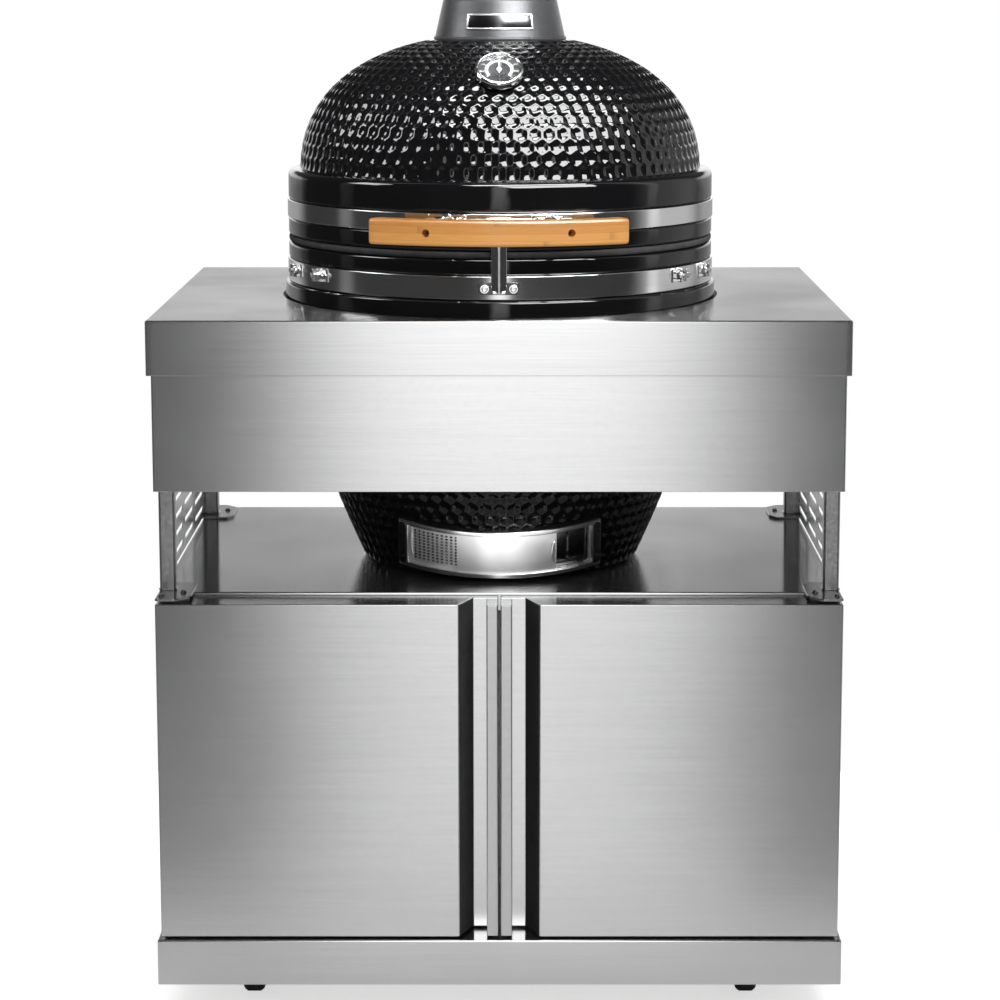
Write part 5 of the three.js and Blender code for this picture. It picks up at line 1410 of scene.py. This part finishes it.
# A cap screw standing on a face: washer, round head and the socket sunk in it.
def capScrew(radius, base, height):
    washer = disc(radius * 1.35, base - 0.2, base + 0.8, 0.3, 24)
    a = np.linspace(0, np.pi / 2, 4)
    edge = radius * 0.22
    top = base + 0.8 + height
    head = [(0, base + 0.6), (radius, base + 0.6)]
    head += [(radius - edge * (1 - math.cos(t)), top - edge * (1 - math.sin(t))) for t in a]
    head += [
        (radius * 0.55, top), (radius * 0.5, top - 0.3), (radius * 0.5, top - height * 0.55),
        (0, top - height * 0.6),
    ]
    return joinShapes([washer, revolve(head, 24, closed=False)])


# A bolt along Z through two lugs: hexagon head at one end, nut and thread end at the other.
def crossBolt(length):
    half, radius = length / 2, 2.6
    threads = [(radius - 0.25 * (k % 2), half + 3 + 0.5 * k) for k in range(14)]
    shank = [(0, -half - 4), (radius, -half - 4), (radius, half + 3), *threads]
    shank += [(radius - 0.6, half + 10.4), (0, half + 10.4)]
    return joinShapes([
        revolve(shank, 20, closed=False),
        moved(hexHead(radius * 1.9, 0, 4.4), (0, 0, -half - 4.6)),
        moved(disc(radius * 2.1, 0, 1.0, 0.25, 24), (0, 0, -half - 1.0)),
        moved(hexHead(radius * 1.9, 0, 4.6), (0, 0, half + 1.0), 14),
        moved(disc(radius * 2.1, 0, 1.0, 0.25, 24), (0, 0, half)),
    ])


# Two lugs turned out from a hoop with a bolt through them, made at the front of the hoop.
def clampShape(z, gap, height, reach):
    radius = 292.0
    lug = lambda x: block(
        x - 1.6, x + 1.6, -radius - reach, -radius + 1.5, z - height / 2, z + height / 2, 0.6, 1.0
    )
    bolt = moved(crossBolt(gap), (0, -radius - reach * 0.55, z), axes=sideAxes)
    foot = lambda x: block(
        x - 7, x + 7, -radius - 1.5, -radius + 1.5, z - height / 2, z + height / 2, 0.5, 2.5
    )
    return joinShapes([lug(-gap / 2 + 1.6), lug(gap / 2 - 1.6), foot(-gap / 2 - 4), foot(gap / 2 + 4), bolt])


clamps = {"turns": (54.3, 68.7), "height": 974.0, "gap": 15.0, "tall": 17.0, "reach": 9.0}

addPiece(
    "lowerHoopClamps",
    joinShapes([
        moved(clampShape(clamps["height"], clamps["gap"], clamps["tall"], clamps["reach"]), turn=sign * turn)
        for turn in clamps["turns"] for sign in (-1, 1)
    ]),
    finish["polished"], "table",
)

tie = {"lug": 52.0, "z": 1057.0}


# The front tie of the upper hoop: a lug on each side and a rod with a turning sleeve between them.
def tieShape():
    radius = 292.0
    parts = []
    for sign in (-1, 1):
        turn = sign * math.degrees(math.asin(tie["lug"] / radius))
        parts.append(
            moved(
                block(-11, 11, -radius - 2.2, -radius + 1.2, tie["z"] - 7, tie["z"] + 7, 0.6, 3.0), turn=turn
            )
        )
        parts.append(
            moved(
                block(-6, 6, -radius - 9, -radius + 0.5, tie["z"] - 4.5, tie["z"] + 4.5, 1.2, 2.0), turn=turn
            )
        )
        parts.append(
            moved(moved(capScrew(3.2, 0, 2.6), (0, -radius - 9, tie["z"]), axes=frontAxes), turn=turn)
        )
    y = -radius * math.cos(math.asin(tie["lug"] / radius)) - 6
    rod = revolve(
        [(0, -46), (2.2, -46), (2.2, -16), (4.0, -15), (4.2, 0), (4.0, 15), (2.2, 16), (2.2, 46), (0, 46)],
        24, closed=False,
    )
    parts.append(moved(rod, (0, y, tie["z"]), axes=sideAxes))
    return joinShapes(parts)


addPiece("upperHoopTie", tieShape(), finish["polished"], "dome_lid")

bracket = {"turn": 15.0, "back": -291.5, "front": -330.7, "z": 1053.0}


# Handle bracket: a foot on the hoop, and an arm that swells where it meets foot and handle.
def bracketShape():
    back, front, z = bracket["back"], bracket["front"], bracket["z"]
    foot = block(-16, 16, z - 12, z + 12, 0, 3, 0.8, 4.0)
    widths = [(0, 1.0), (0.08, 0.86), (0.25, 0.74), (0.7, 0.74), (0.9, 0.86), (1.0, 1.0)]
    box = boxCorners(-8, 8, -10, 10)
    rings = []
    for share, size in widths:
        loop = insetOutline(box, 3.5, 0, 5, 0.2) * (size, size)
        rings.append(
            np.column_stack([loop[:, 0], np.full(len(loop), back - share * (back - front)), loop[:, 1] + z])
        )
    screws = [moved(capScrew(2.6, 2.6, 1.6), (x, back, z), axes=frontAxes) for x in (-11.8, 11.8)]
    return joinShapes([moved(foot, (0, back, 0), axes=frontAxes), cappedRings(rings), *screws])


for side, sign in (("Left", -1), ("Right", 1)):
    shape = moved(bracketShape(), turn=sign * bracket["turn"])
    addPiece(
        f"handleBracket{side}", shape, finish["polished"], "dome_lid",
        (f"handle_bracket_{side.lower()}",),
    )
    screw = moved(capScrew(3.2, 0, 2.0), (0, -handle["screwSeat"], handle["middle"]), axes=frontAxes)
    addPiece(
        f"handleScrew{side}", moved(screw, turn=sign * bracket["turn"]), finish["blackSteel"], "dome_lid",
    )

catch = {"z": 970.0, "back": -292.6, "barFront": -298.1, "barBack": -294.1, "barTop": 1054.0}


# Catch: a channel with its edges turned back, on a foot that two cap screws hold.
def catchShape():
    z, front, back = catch["z"], catch["barFront"], catch["barBack"]
    foot = moved(block(-26, 26, z - 8, z + 8, 0, 3, 0.7, 4.0), (0, catch["back"], 0), axes=frontAxes)
    x = np.linspace(-10, 10, 9)
    bow = 2.6 * (x / 10) ** 2
    corners = list(zip(x, front + bow)) + [
        (10, back), (8.4, back), (8.4, front + 3.4), (-8.4, front + 3.4), (-8.4, back), (-10, back)
    ]
    radii = [1.2] + [6.0] * 7 + [1.2, 0.4, 0.4, 0.6, 0.6, 0.4, 0.4]
    bar = prism(corners, z - 6, catch["barTop"], radii, 0.5, 3)
    toe = block(-9, 9, front + 0.4, front + 3.0, z - 7, z - 3, 0.8, 1.0)
    screws = [
        moved(capScrew(4.2, 2.6, 2.0), (x, catch["back"], z - 0.5), axes=frontAxes) for x in (-18.5, 18.5)
    ]
    return foot, joinShapes([bar, toe, *screws])


catchFoot, catchBar = catchShape()
addPiece("lidCatch", catchBar, finish["polished"], "table", ("lid_catch",))
addPiece("catchFoot", catchFoot, finish["darkSteel"], "table")
print("hoops, handle and catch fitted")

# Draft door at the foot of the body

draft = {
    "inner": 202.0, "outer": 226.5, "half": 36.5, "bottom": 575.0, "top": 644.0, "window": 33.0, "rail": 7.0,
    "grooveIn": 218.3, "grooveOut": 224.3, "lip": 4.5, "sheet": 1.2, "lean": 15.0,
    "pivot": (0, -214.25, 609.5),
    "slideLow": 579.8, "slideHigh": 639.2,
}


# The door is made upright and leaned forward about its pivot: y' = y cos - z sin, z' = y sin + z cos.
def leaned(shape):
    a = math.radians(draft["lean"])
    turn = np.array([[1, 0, 0], [0, math.cos(a), math.sin(a)], [0, -math.sin(a), math.cos(a)]])
    return (np.asarray(shape[0], float) - draft["pivot"]) @ turn + draft["pivot"], shape[1]


# Frame: two rails with the slides' groove between their lips, closed at both ends, backed at the right.
def draftFrameShape():
    inner, outer, bottom, top = draft["inner"], draft["outer"], draft["bottom"], draft["top"]
    low, high = bottom + draft["rail"], top - draft["rail"]
    g0, g1, lip = draft["grooveIn"], draft["grooveOut"], draft["lip"]
    lower = [
        (inner, bottom), (outer, bottom), (outer, low), (g1, low), (g1, bottom + lip), (g0, bottom + lip),
        (g0, low), (inner, low),
    ]
    upper = [(r, bottom + top - z) for r, z in lower][::-1]
    radii = [1.5, 2.2, 0.8, 0.5, 0.4, 0.4, 0.5, 1.0]
    parts = [
        revolveArc(roundedOutline(lower, radii, 4), -draft["half"], draft["half"], 72),
        revolveArc(roundedOutline(upper, radii[::-1], 4), -draft["half"], draft["half"], 72),
    ]
    for sign in (-1, 1):
        near, far = sorted((sign * (draft["window"] + 1.5), sign * draft["half"]))
        post = roundedOutline(boxCorners(inner, outer - 0.4, bottom + 0.3, top - 0.3), 1.5, 4)
        parts.append(revolveArc(post, near, far, 5))
        near, far = sorted((sign * draft["window"], sign * (draft["window"] + 1.6)))
        for r0, r1 in ((inner, g0), (g1, outer - 0.4)):
            strip = roundedOutline(boxCorners(r0, r1, low - 2, high + 2), 0.4, 2)
            parts.append(revolveArc(strip, near, far, 3))
    back = roundedOutline(boxCorners(g0 - 3.6, g0 - 2.2, low - 1, high + 1), 0.3, 2)
    parts.append(revolveArc(back, 18.2, draft["window"], 16))
    return joinShapes(parts)


# Ears: rounded plates on the frame's ends, each with two screws.
def draftEarShape():
    parts = []
    for sign in (-1, 1):
        plate = block(-6.4, 6.4, -30, 30, 0, 1.8, 0.6, 5.0)
        ear = moved(plate, (0, -draft["outer"] + 1.2, draft["pivot"][2]), axes=frontAxes)
        parts.append(moved(ear, turn=sign * 35.0))
        for z in (draft["pivot"][2] - 20, draft["pivot"][2] + 20):
            screw = moved(capScrew(2.4, 1.6, 1.2), (0, -draft["outer"] + 1.2, z), axes=frontAxes)
            parts.append(moved(screw, turn=sign * 35.0))
    return joinShapes(parts)


addPiece(
    "draftFrame", leaned(draftFrameShape()), finish["satin"], "table", ("draft_frame",),
    sharp=35
)
addPiece("draftEars", leaned(draftEarShape()), finish["darkSteel"], "table")
cover = roundedOutline(boxCorners(215.9, 217.2, 582.5, 636.5), 0.3, 2)
coverPiece = addPiece(
    "draftCover", leaned(revolveArc(cover, 18.0, 32.8, 16)), finish["darkSteel"], "table",
    mapping=False,
)
slot = moved(block(-1.1, 1.1, -12, 12, -5, 5, 0.1, 0.7), (0, -216.5, 614), axes=frontAxes)
pip = moved(block(-1.9, 1.9, -1.9, 1.9, -5, 5, 0.1, 1.6), (0, -216.5, 594), axes=frontAxes)
carve(coverPiece, leaned(moved(joinShapes([slot, pip]), turn=24.5)))

screen = {"radius": 218.6, "from": -34.3, "to": -1.0, "columns": 10, "rows": 10}


# Screen: a bent sheet with a grid of small square holes, seen left of the plain slide.
def screenShape():
    radius, low, high = screen["radius"], draft["slideLow"], draft["slideHigh"]
    fromU, toU = math.radians(screen["from"]) * radius, math.radians(screen["to"]) * radius
    startU, endU = math.radians(-31.3) * radius, math.radians(-14.0) * radius
    pitchU = (endU - startU) / screen["columns"]
    edgesU, edgesV = [fromU], [low]
    for k in range(screen["columns"]):
        edgesU += [startU + k * pitchU, startU + (k + 0.52) * pitchU]
    for k in range(6):
        edgesU.append(endU + (toU - endU) * (k + 1) / 6)
    rows = screen["rows"]
    pitchV = 44.0 / rows
    for k in range(rows):
        edgesV += [588.2 + k * pitchV, 588.2 + (k + 0.55) * pitchV]
    edgesV.append(high)
    edgesU, edgesV = np.array(edgesU), np.array(edgesV)
    uu, vv = np.meshgrid(edgesU, edgesV, indexing="ij")
    points = np.stack([uu.ravel(), vv.ravel()], 1)
    cells = gridFaces(len(edgesU), len(edgesV))
    number = np.arange(len(cells))
    i, j = number // (len(edgesV) - 1), number % (len(edgesV) - 1)
    isHole = (i % 2 == 1) & (i < 2 * screen["columns"]) & (j % 2 == 1) & (j < 2 * rows)
    place = lambda u, v, w: np.stack(
        [(radius + w) * np.sin(u / radius), -(radius + w) * np.cos(u / radius), v], 1
    )
    return thickened((points, [cells[~isHole]]), draft["sheet"], place)


# A leaf-shaped pull, bent out of the sheet: wide at its root and rounded towards its tip.
def pullShape(radius, turn, reach, lean):
    low, high = 592.0, 627.0
    z = np.linspace(low, high, 17)
    share = (z - low) / (high - low)
    out = reach * np.sin(np.pi * share) ** 0.55
    rows = []
    for side in (0.0, 1.3):
        root = np.stack([np.full(17, radius - 0.6), np.full(17, side)], 1)
        tip = np.stack([radius + out, side + lean * out / reach], 1)
        rows.append((root, tip))
    loops = [rows[0][0], rows[0][1], rows[1][1], rows[1][0]]
    grid = []
    for loop in loops:
        angle = math.radians(turn) + loop[:, 1] / radius
        grid.append(np.stack([loop[:, 0] * np.sin(angle), -loop[:, 0] * np.cos(angle), z], 1))
    return np.stack(grid, 1).reshape(-1, 3), tubeFaces(17, 4)


addPiece(
    "draftScreen", leaned(joinShapes([screenShape(), pullShape(219.6, -31.9, 2.6, -2.0)])),
    finish["slide"], "air_screen", ("draft_screen",),
)
slide = roundedOutline(boxCorners(222.6, 223.8, draft["slideLow"], draft["slideHigh"]), 0.4, 3)
addPiece(
    "draftSlide", leaned(
        joinShapes([revolveArc(slide, -14.7, 19.7, 48), pullShape(223.4, 19.2, 7.0, -7.5)])
    ),
    finish["slide"], "air_slide", ("draft_door",),
)
print("draft door made")

# Thermometer

dialPlace = (0.0, -204.707, 1238.022)
dialAxes = ((1, 0, 0), (0, 0.7660, 0.6428), (0, -0.6428, 0.7660))
dial = {
    "radius": 31.5, "depth": 13.0, "inner": 27.0, "face": 9.0, "arc": (14.2, 17.4), "from": -130.0,
    "to": 130.0,
}


def onDial(shape):
    return moved(shape, dialPlace, axes=dialAxes)


def bezelShape():
    radius, depth, inner, face = dial["radius"], dial["depth"], dial["inner"], dial["face"]
    outline = [
        (0, -48), (4, -48), (4, 0), (radius - 3, 0), (radius, 3), (radius, depth - 2), (29.6, depth),
        (28.4, depth),
        (27.2, 11.6), (inner, face), (0, face),
    ]
    path = roundedPath(outline, [1.0, 0.3, 1.0, 2.0, 2.2, 1.2, 0.8, 0.5, 0.2], 4)
    return revolve(path, 96, closed=False)


addPiece(
    "dialCase", onDial(bezelShape()), finish["polished"], "dome_lid", ("thermometer",),
    mapping=False,
)
addPiece(
    "dialFace", onDial(disc(26.9, 9.02, 9.3, 0.1, 96)), finish["dialBlack"], "dome_lid",
    mapping=False,
)


# A flat ring piece between two angles from the top of the dial, positive to the right.
def dialArc(inner, outer, fromTurn, toTurn, low, high, columns):
    angle = np.radians(np.linspace(fromTurn, toTurn, columns))[:, None]
    out, height = np.array(boxCorners(inner, outer, low, high)).T
    points = np.stack([out * np.sin(angle), out * np.cos(angle), np.broadcast_to(height, (columns, 4))], -1)
    return points.reshape(-1, 3), tubeFaces(columns, 4)


def dialMarks():
    parts = [dialArc(*dial["arc"], dial["from"], dial["to"], 9.25, 9.42, 80)]
    turns = np.linspace(dial["from"], dial["to"], 41)
    for k, turn in enumerate(turns):
        tip = 20.4 if k % 5 == 0 else 18.8
        wide = 1.4 if k % 5 == 0 else 0.7
        parts.append(dialArc(17.2, tip, turn - wide, turn + wide, 9.25, 9.42, 2))
    return joinShapes(parts)


addPiece("dialMarks", onDial(dialMarks()), finish["dialWhite"], "dome_lid", mapping=False)


# Numbers of the scale, 0 to 400, made as text, turned into a mesh and laid on the dial face.
def dialNumbers():
    body = bmesh.new()
    graph = bpy.context.evaluated_depsgraph_get()
    for k in range(9):
        text = bpy.data.curves.new("scaleNumber", "FONT")
        text.body = str(50 * k)
        text.size = 3.6
        text.align_x, text.align_y = "CENTER", "CENTER"
        text.extrude = 0.1
        text.resolution_u = 3
        holder = bpy.data.objects.new("scaleNumber", text)
        bpy.context.scene.collection.objects.link(holder)
        graph.update()
        mesh = bpy.data.meshes.new_from_object(holder.evaluated_get(graph))
        turn = math.radians(dial["from"] + (dial["to"] - dial["from"]) * k / 8)
        place = readValues(mesh.vertices, "co", 3).reshape(-1, 3).astype(float)
        place += (23.2 * math.sin(turn), 22.9 * math.cos(turn), 9.32)
        spot = place @ np.array(dialAxes) + np.array(dialPlace)
        mesh.vertices.foreach_set("co", (spot * 0.001).astype(np.float32).ravel())
        body.from_mesh(mesh)
        bpy.data.objects.remove(holder)
        bpy.data.curves.remove(text)
        bpy.data.meshes.remove(mesh)
    bmesh.ops.remove_doubles(body, verts=body.verts, dist=1e-6)
    bmesh.ops.recalc_face_normals(body, faces=body.faces)
    mesh = bpy.data.meshes.new("dialNumbers")
    body.to_mesh(mesh)
    body.free()
    mesh.materials.append(finish["dialWhite"])
    piece = bpy.data.objects.new("dialNumbers", mesh)
    bpy.context.scene.collection.objects.link(piece)
    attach(piece, "dome_lid")


dialNumbers()


def pointerShape():
    outline = [(-1.4, -6), (1.4, -6), (1.1, 2), (0.5, 19), (-0.5, 19), (-1.1, 2)]
    needle = prism(outline, 9.7, 10.6, 0.4, 0.2, 2, 2, 0.1)
    return joinShapes([needle, disc(3.5, 9.6, 11.0, 0.6, 32, 0.3)])


addPiece(
    "dialPointer", onDial(pointerShape()), finish["dialWhite"], "dial_pointer",
    ("thermometer_pointer",), mapping=False,
)
addPiece(
    "dialGlass", onDial(disc(26.6, 11.7, 12.3, 0.15, 96)), finish["glass"], "dome_lid",
    mapping=False,
)
print("thermometer made")

# Top vent

chimney = {
    "base": 90.5, "low": 1279.3, "top": 1333.3, "neck": 69.0, "neckTop": 1377.3, "bore": 64.0,
    "windowLow": 1342.3, "windowHigh": 1368.3,
}


def collarShape():
    low, top, base = chimney["low"], chimney["top"], chimney["base"]
    bore, neck, neckTop = chimney["bore"], chimney["neck"], chimney["neckTop"]
    outline = [
        (bore, low), (base, low), (base, low + 3.6), (88.6, low + 4.6), (77.6, top), (neck, top),
        (neck, neckTop),
        (bore, neckTop),
    ]
    return revolve(roundedOutline(outline, [0.8, 1.2, 1.2, 1.5, 2.2, 1.5, 0.8, 0.8], 5), 144)


def windowCutter(inner, outer):
    parts = []
    for k in range(4):
        box = roundedOutline(boxCorners(inner, outer, chimney["windowLow"], chimney["windowHigh"]), 0.01, 1)
        parts.append(moved(revolveArc(box, -10, 10, 9), turn=50 + 90 * k))
    return joinShapes(parts)


collarPiece = addPiece(
    "ventCollar", collarShape(), finish["casting"], "dome_lid", ("chimney_collar",),
    mapping=False
)
carve(collarPiece, windowCutter(60, 74))
sleeveLoop = roundedOutline(boxCorners(69.5, 72.5, 1333.6, chimney["neckTop"]), 0.7, 3)
sleevePiece = addPiece(
    "ventSleeve", revolve(sleeveLoop, 144), finish["casting"], "damper",
    ("damper_sleeve",), mapping=False
)
carve(sleevePiece, windowCutter(66, 76))


def capShape():
    outline = [
        (0, 1377.6), (80, 1377.6), (80, 1385.6), (72, 1394), (40, 1401), (14, 1406), (8, 1409.5), (9, 1413),
        (14, 1417.5),
        (12, 1421.5), (7, 1423.6), (0, 1423.6),
    ]
    return revolve(roundedPath(outline, [1.5, 3, 4, 20, 4, 2, 2, 3, 2, 3], 6), 120, closed=False)


addPiece(
    "ventCap", capShape(), finish["casting"], "damper", ("damper_cap",), mapping=False
)

plate = {"z": 1304.7, "tall": 20.5, "wide": 93.0, "frame": 2.2, "radius": 86.0}


# Nameplate, left bare: a bright frame round a dark sunk face, both bent to the collar's cone.
def platePart(fromTurn, toTurn, fromZ, toZ, out, columns):
    cone = lambda z: 88.6 - 0.2175 * (z - 1283.9)
    loop = [
        (cone(fromZ) - 1.5, fromZ), (cone(fromZ) + out, fromZ), (cone(toZ) + out, toZ),
        (cone(toZ) - 1.5, toZ),
    ]
    return revolveArc(roundedOutline(loop, 0.35, 2), fromTurn, toTurn, columns)


half = math.degrees(plate["wide"] / 2 / plate["radius"])
low, high, rim = plate["z"] - plate["tall"] / 2, plate["z"] + plate["tall"] / 2, plate["frame"]
rimTurn = math.degrees(rim / plate["radius"])
frameParts = [
    platePart(-half, half, low, low + rim, 1.7, 33), platePart(-half, half, high - rim, high, 1.7, 33),
    platePart(-half, -half + rimTurn, low, high, 1.7, 3), platePart(half - rimTurn, half, low, high, 1.7, 3),
]
addPiece("plateFrame", joinShapes(frameParts), finish["trim"], "dome_lid", mapping=False)
addPiece(
    "plateFace", platePart(-half + 0.5, half - 0.5, low + 1, high - 1, 0.8, 33), finish["darkSteel"],
    "dome_lid", mapping=False,
)
print("top vent made")

# Fire pieces, hinge, casters and the rest


# A CAD solid worked up: doubles merged, flat faces joined, every bend over 35 degrees slightly rounded.
def easedCopy(node, name, width, material, body):
    solid = bmesh.new()
    solid.from_mesh(frame["nodes"][node].data)
    bmesh.ops.remove_doubles(solid, verts=solid.verts, dist=2e-6)
    bmesh.ops.dissolve_limit(solid, angle_limit=math.radians(1), verts=solid.verts, edges=solid.edges)
    sharpEdges = [
        e for e in solid.edges if len(e.link_faces) == 2 and e.calc_face_angle(0) > math.radians(35)
    ]
    bmesh.ops.bevel(
        solid, geom=sharpEdges, offset=width * 0.001, offset_type="OFFSET", segments=2, profile=0.6,
        affect="EDGES",
        clamp_overlap=True,
    )
    mesh = bpy.data.meshes.new(name)
    solid.to_mesh(mesh)
    solid.free()
    markRims(mesh)
    mesh.shade_smooth()
    mesh.set_sharp_from_angle(angle=math.radians(32))
    flatMap(mesh)
    mesh.materials.append(material)
    piece = bpy.data.objects.new(name, mesh)
    bpy.context.scene.collection.objects.link(piece)
    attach(piece, body)
    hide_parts(node)
    return piece


# Clay pieces: outlines turned about the grill's axis with softly rounded corners.
ringLow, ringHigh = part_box("fire_ring")
outer = ringHigh.x * 1000
ringLoop = roundedOutline(boxCorners(outer - 16, outer, ringLow.z * 1000, ringHigh.z * 1000), 3.0, 4)
addPiece(
    "fireRing", revolve(ringLoop, 120), finish["clay"], "table", ("fire_ring",), mapping=False
)
easedCopy("firebox", "fireBox", 2.0, finish["clay"], "table")
easedCopy("charcoal_grate", "charcoalGrate", 1.0, finish["iron"], "table")

grate = {"radius": 260.0, "z": 986.8, "wire": 2.5, "bars": 27, "cross": 3}


# A round rod between two points, with eased ends.
def rodShape(start, end, radius):
    start, end = np.asarray(start, float), np.asarray(end, float)
    along = (end - start) / np.linalg.norm(end - start)
    side = np.cross(along, (0, 0, 1.0) if abs(along[2]) < 0.9 else (1.0, 0, 0))
    side /= np.linalg.norm(side)
    up = np.cross(side, along)
    length = np.linalg.norm(end - start)
    angle = np.linspace(0, 2 * np.pi, 10, endpoint=False)
    rings = []
    for at, size in ((0, 0.6), (0.4 * radius, 1), (length - 0.4 * radius, 1), (length, 0.6)):
        rings.append(
            start + along * at + radius * size * (
                np.outer(np.cos(angle), side) + np.outer(np.sin(angle), up)
            )
        )
    return cappedRings(rings)


def grateShape():
    radius, z, wire = grate["radius"] - grate["wire"], grate["z"], grate["wire"]
    turn = np.linspace(0, 2 * np.pi, 13)[:-1]
    rim = revolve([(radius + wire * math.cos(t), z + wire * math.sin(t)) for t in turn], 160)
    parts = [rim]
    for x in np.linspace(-radius, radius, grate["bars"] + 2)[1:-1]:
        reach = math.sqrt(radius**2 - x**2)
        parts.append(rodShape((x, -reach, z), (x, reach, z), 1.9))
    for y in np.linspace(-radius, radius, grate["cross"] + 2)[1:-1]:
        reach = math.sqrt(radius**2 - y**2)
        parts.append(rodShape((-reach, y, z - 0.6), (reach, y, z - 0.6), 1.9))
    return joinShapes(parts)


addPiece(
    "cookingGrate", grateShape(), finish["grate"], "table", ("cooking_grate",),
    mapping=False,
)

for node, name, width in (("rear_hinge_base", "hingeBase", 1.0), ("hinge_pin", "hingePin", 0.8)):
    easedCopy(node, name, width, finish["zinc"], "table")
easedCopy("rear_hinge_arm", "hingeArm", 1.0, finish["zinc"], "dome_lid")

spring = {"coil": 8.0, "wire": 1.2, "curls": 7, "bottom": 941.3, "top": 1005.7, "x": 22.0, "y": 344.0}


# Spring: a round wire on a helix whose pitch closes up at both ends, its end curls flat.
def springShape(x):
    steps, sides = 24, 10
    turns = np.linspace(0, spring["curls"], spring["curls"] * steps + 1)
    share = turns / spring["curls"]
    ease = np.clip((share - 0.1) / 0.8, 0, 1)
    rise = ease * (spring["top"] - spring["bottom"] - 4 * spring["wire"]) + share * 2 * spring["wire"]
    angle = 2 * np.pi * turns
    centre = np.stack(
        [
            spring["coil"] * np.cos(angle), spring["coil"] * np.sin(angle),
            spring["bottom"] + spring["wire"] + rise,
        ],
        1,
    )
    along = np.gradient(centre, axis=0)
    along /= np.linalg.norm(along, axis=1, keepdims=True)
    outward = np.stack([np.cos(angle), np.sin(angle), np.zeros_like(angle)], 1)
    across = np.cross(along, outward)
    lap = np.linspace(0, 2 * np.pi, sides, endpoint=False)
    wire = spring["wire"] * (
        np.cos(lap)[None, :, None] * outward[:, None] + np.sin(lap)[None, :, None] * across[:, None]
    )
    points = (centre[:, None] + wire).reshape(-1, 3) + (x, spring["y"], 0)
    return points, tubeFaces(len(turns), sides)


for side, sign in (("Left", -1), ("Right", 1)):
    coil = addPiece(
        f"hingeSpring{side}", springShape(sign * spring["x"]), finish["zinc"], "table",
        (f"hinge_spring_{side.lower()}",), mapping=False,
    )
    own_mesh(coil)

wheel = {
    "radius": 37.5, "half": 14.0, "rim": 27.0, "bore": 5.6, "x": 333.0, "frontY": -207.0, "rearY": 235.0
}


# Wheel about X: a rounded tyre on a ribbed hub with a sunk face and a bearing cap.
def tyreShape():
    half, r, rim = wheel["half"], wheel["radius"], wheel["rim"]
    outline = [
        (rim + 0.5, -half + 2), (33, -half), (r, -half + 5), (r, half - 5), (33, half),
        (rim + 0.5, half - 2), (rim, 0),
    ]
    return revolve(roundedOutline(outline, [1, 3, 4, 4, 3, 1, 1], 4), 96)


def hubShape():
    half, bore, out = wheel["half"], wheel["bore"], wheel["rim"] + 0.3
    outline = [
        (bore, -half), (11, -half), (12, -half + 4), (24, -half + 5), (out, -half + 2.4), (out, half - 2.4),
        (24, half - 5), (12, half - 4), (11, half), (bore, half),
    ]
    parts = [revolve(roundedOutline(outline, 0.8, 3), 72)]
    for k in range(6):
        for sign in (-1, 1):
            rib = block(10, 25.5, -1.2, 1.2, half - 6.5, half - 3.2, 0.4, 0.6)
            if sign < 0:
                rib = np.asarray(rib[0]) * (1, 1, -1), rib[1]
            parts.append(moved(rib, turn=60 * k))
    return joinShapes(parts)


def placeWheel(shape, x, y):
    return moved(shape, (x, y, wheel["radius"]), axes=sideAxes)


for side, sign in (("left", -1), ("right", 1)):
    for end, y, body, node in (
        ("front", wheel["frontY"], f"caster_wheel_{side}", f"front_wheel_{side}"),
        ("rear", wheel["rearY"], f"back_wheel_{side}", f"rear_wheel_{side}"),
    ):
        x = sign * wheel["x"]
        addPiece(
            f"{end}Tyre{side.title()}", placeWheel(tyreShape(), x, y), finish["rubber"], body,
            (node,), mapping=False,
        )
        addPiece(
            f"{end}Hub{side.title()}", placeWheel(hubShape(), x, y), finish["plastic"], body,
            mapping=False,
        )
    for node, name, width, material, body, slotName in (
        (f"front_caster_plate_{side}", "casterPlate", 0.6, "zinc", "table", "zinc_steel"),
        (f"front_caster_fork_{side}", "casterFork", 0.7, "plastic", f"caster_fork_{side}", "black_plastic"),
        (f"brake_pedal_{side}", "brakePedal", 0.8, "plastic", f"caster_brake_{side}", "black_plastic"),
        (f"rear_caster_bracket_{side}", "casterBracket", 0.7, "zinc", "table", "zinc_steel"),
        (f"{side}_hinge_upper", "doorHingeUpper", 0.4, "zinc", "table", "zinc_steel"),
        (f"{side}_hinge_lower", "doorHingeLower", 0.4, "zinc", "table", "zinc_steel"),
    ):
        easedCopy(node, name + side.title(), width, finish[material], body)
print("fire pieces, hinge and casters made")

# The three cards are screened off from the broad sheets, the posts and the door bars; they shine on the
# glaze, wood, castings and small metal. The bay card shines on the draft door alone.
shiny = bpy.data.collections.new("shinyPieces")
for thing in list(bpy.context.scene.objects):
    if thing.type == "MESH" and thing.data.materials and thing.data.materials[0] is not finish["brushed"]:
        if thing is not floorObject and not thing.name.startswith(("post", "doorBar")):
            shiny.objects.link(thing)
for card in cards:
    card.light_linking.receiver_collection = shiny
bay = bpy.data.collections.new("bayPieces")
for name in ("draftFrame", "draftSlide", "draftScreen", "draftCover"):
    bay.objects.link(bpy.data.objects[name])
bayCard.light_linking.receiver_collection = bay

low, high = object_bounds()
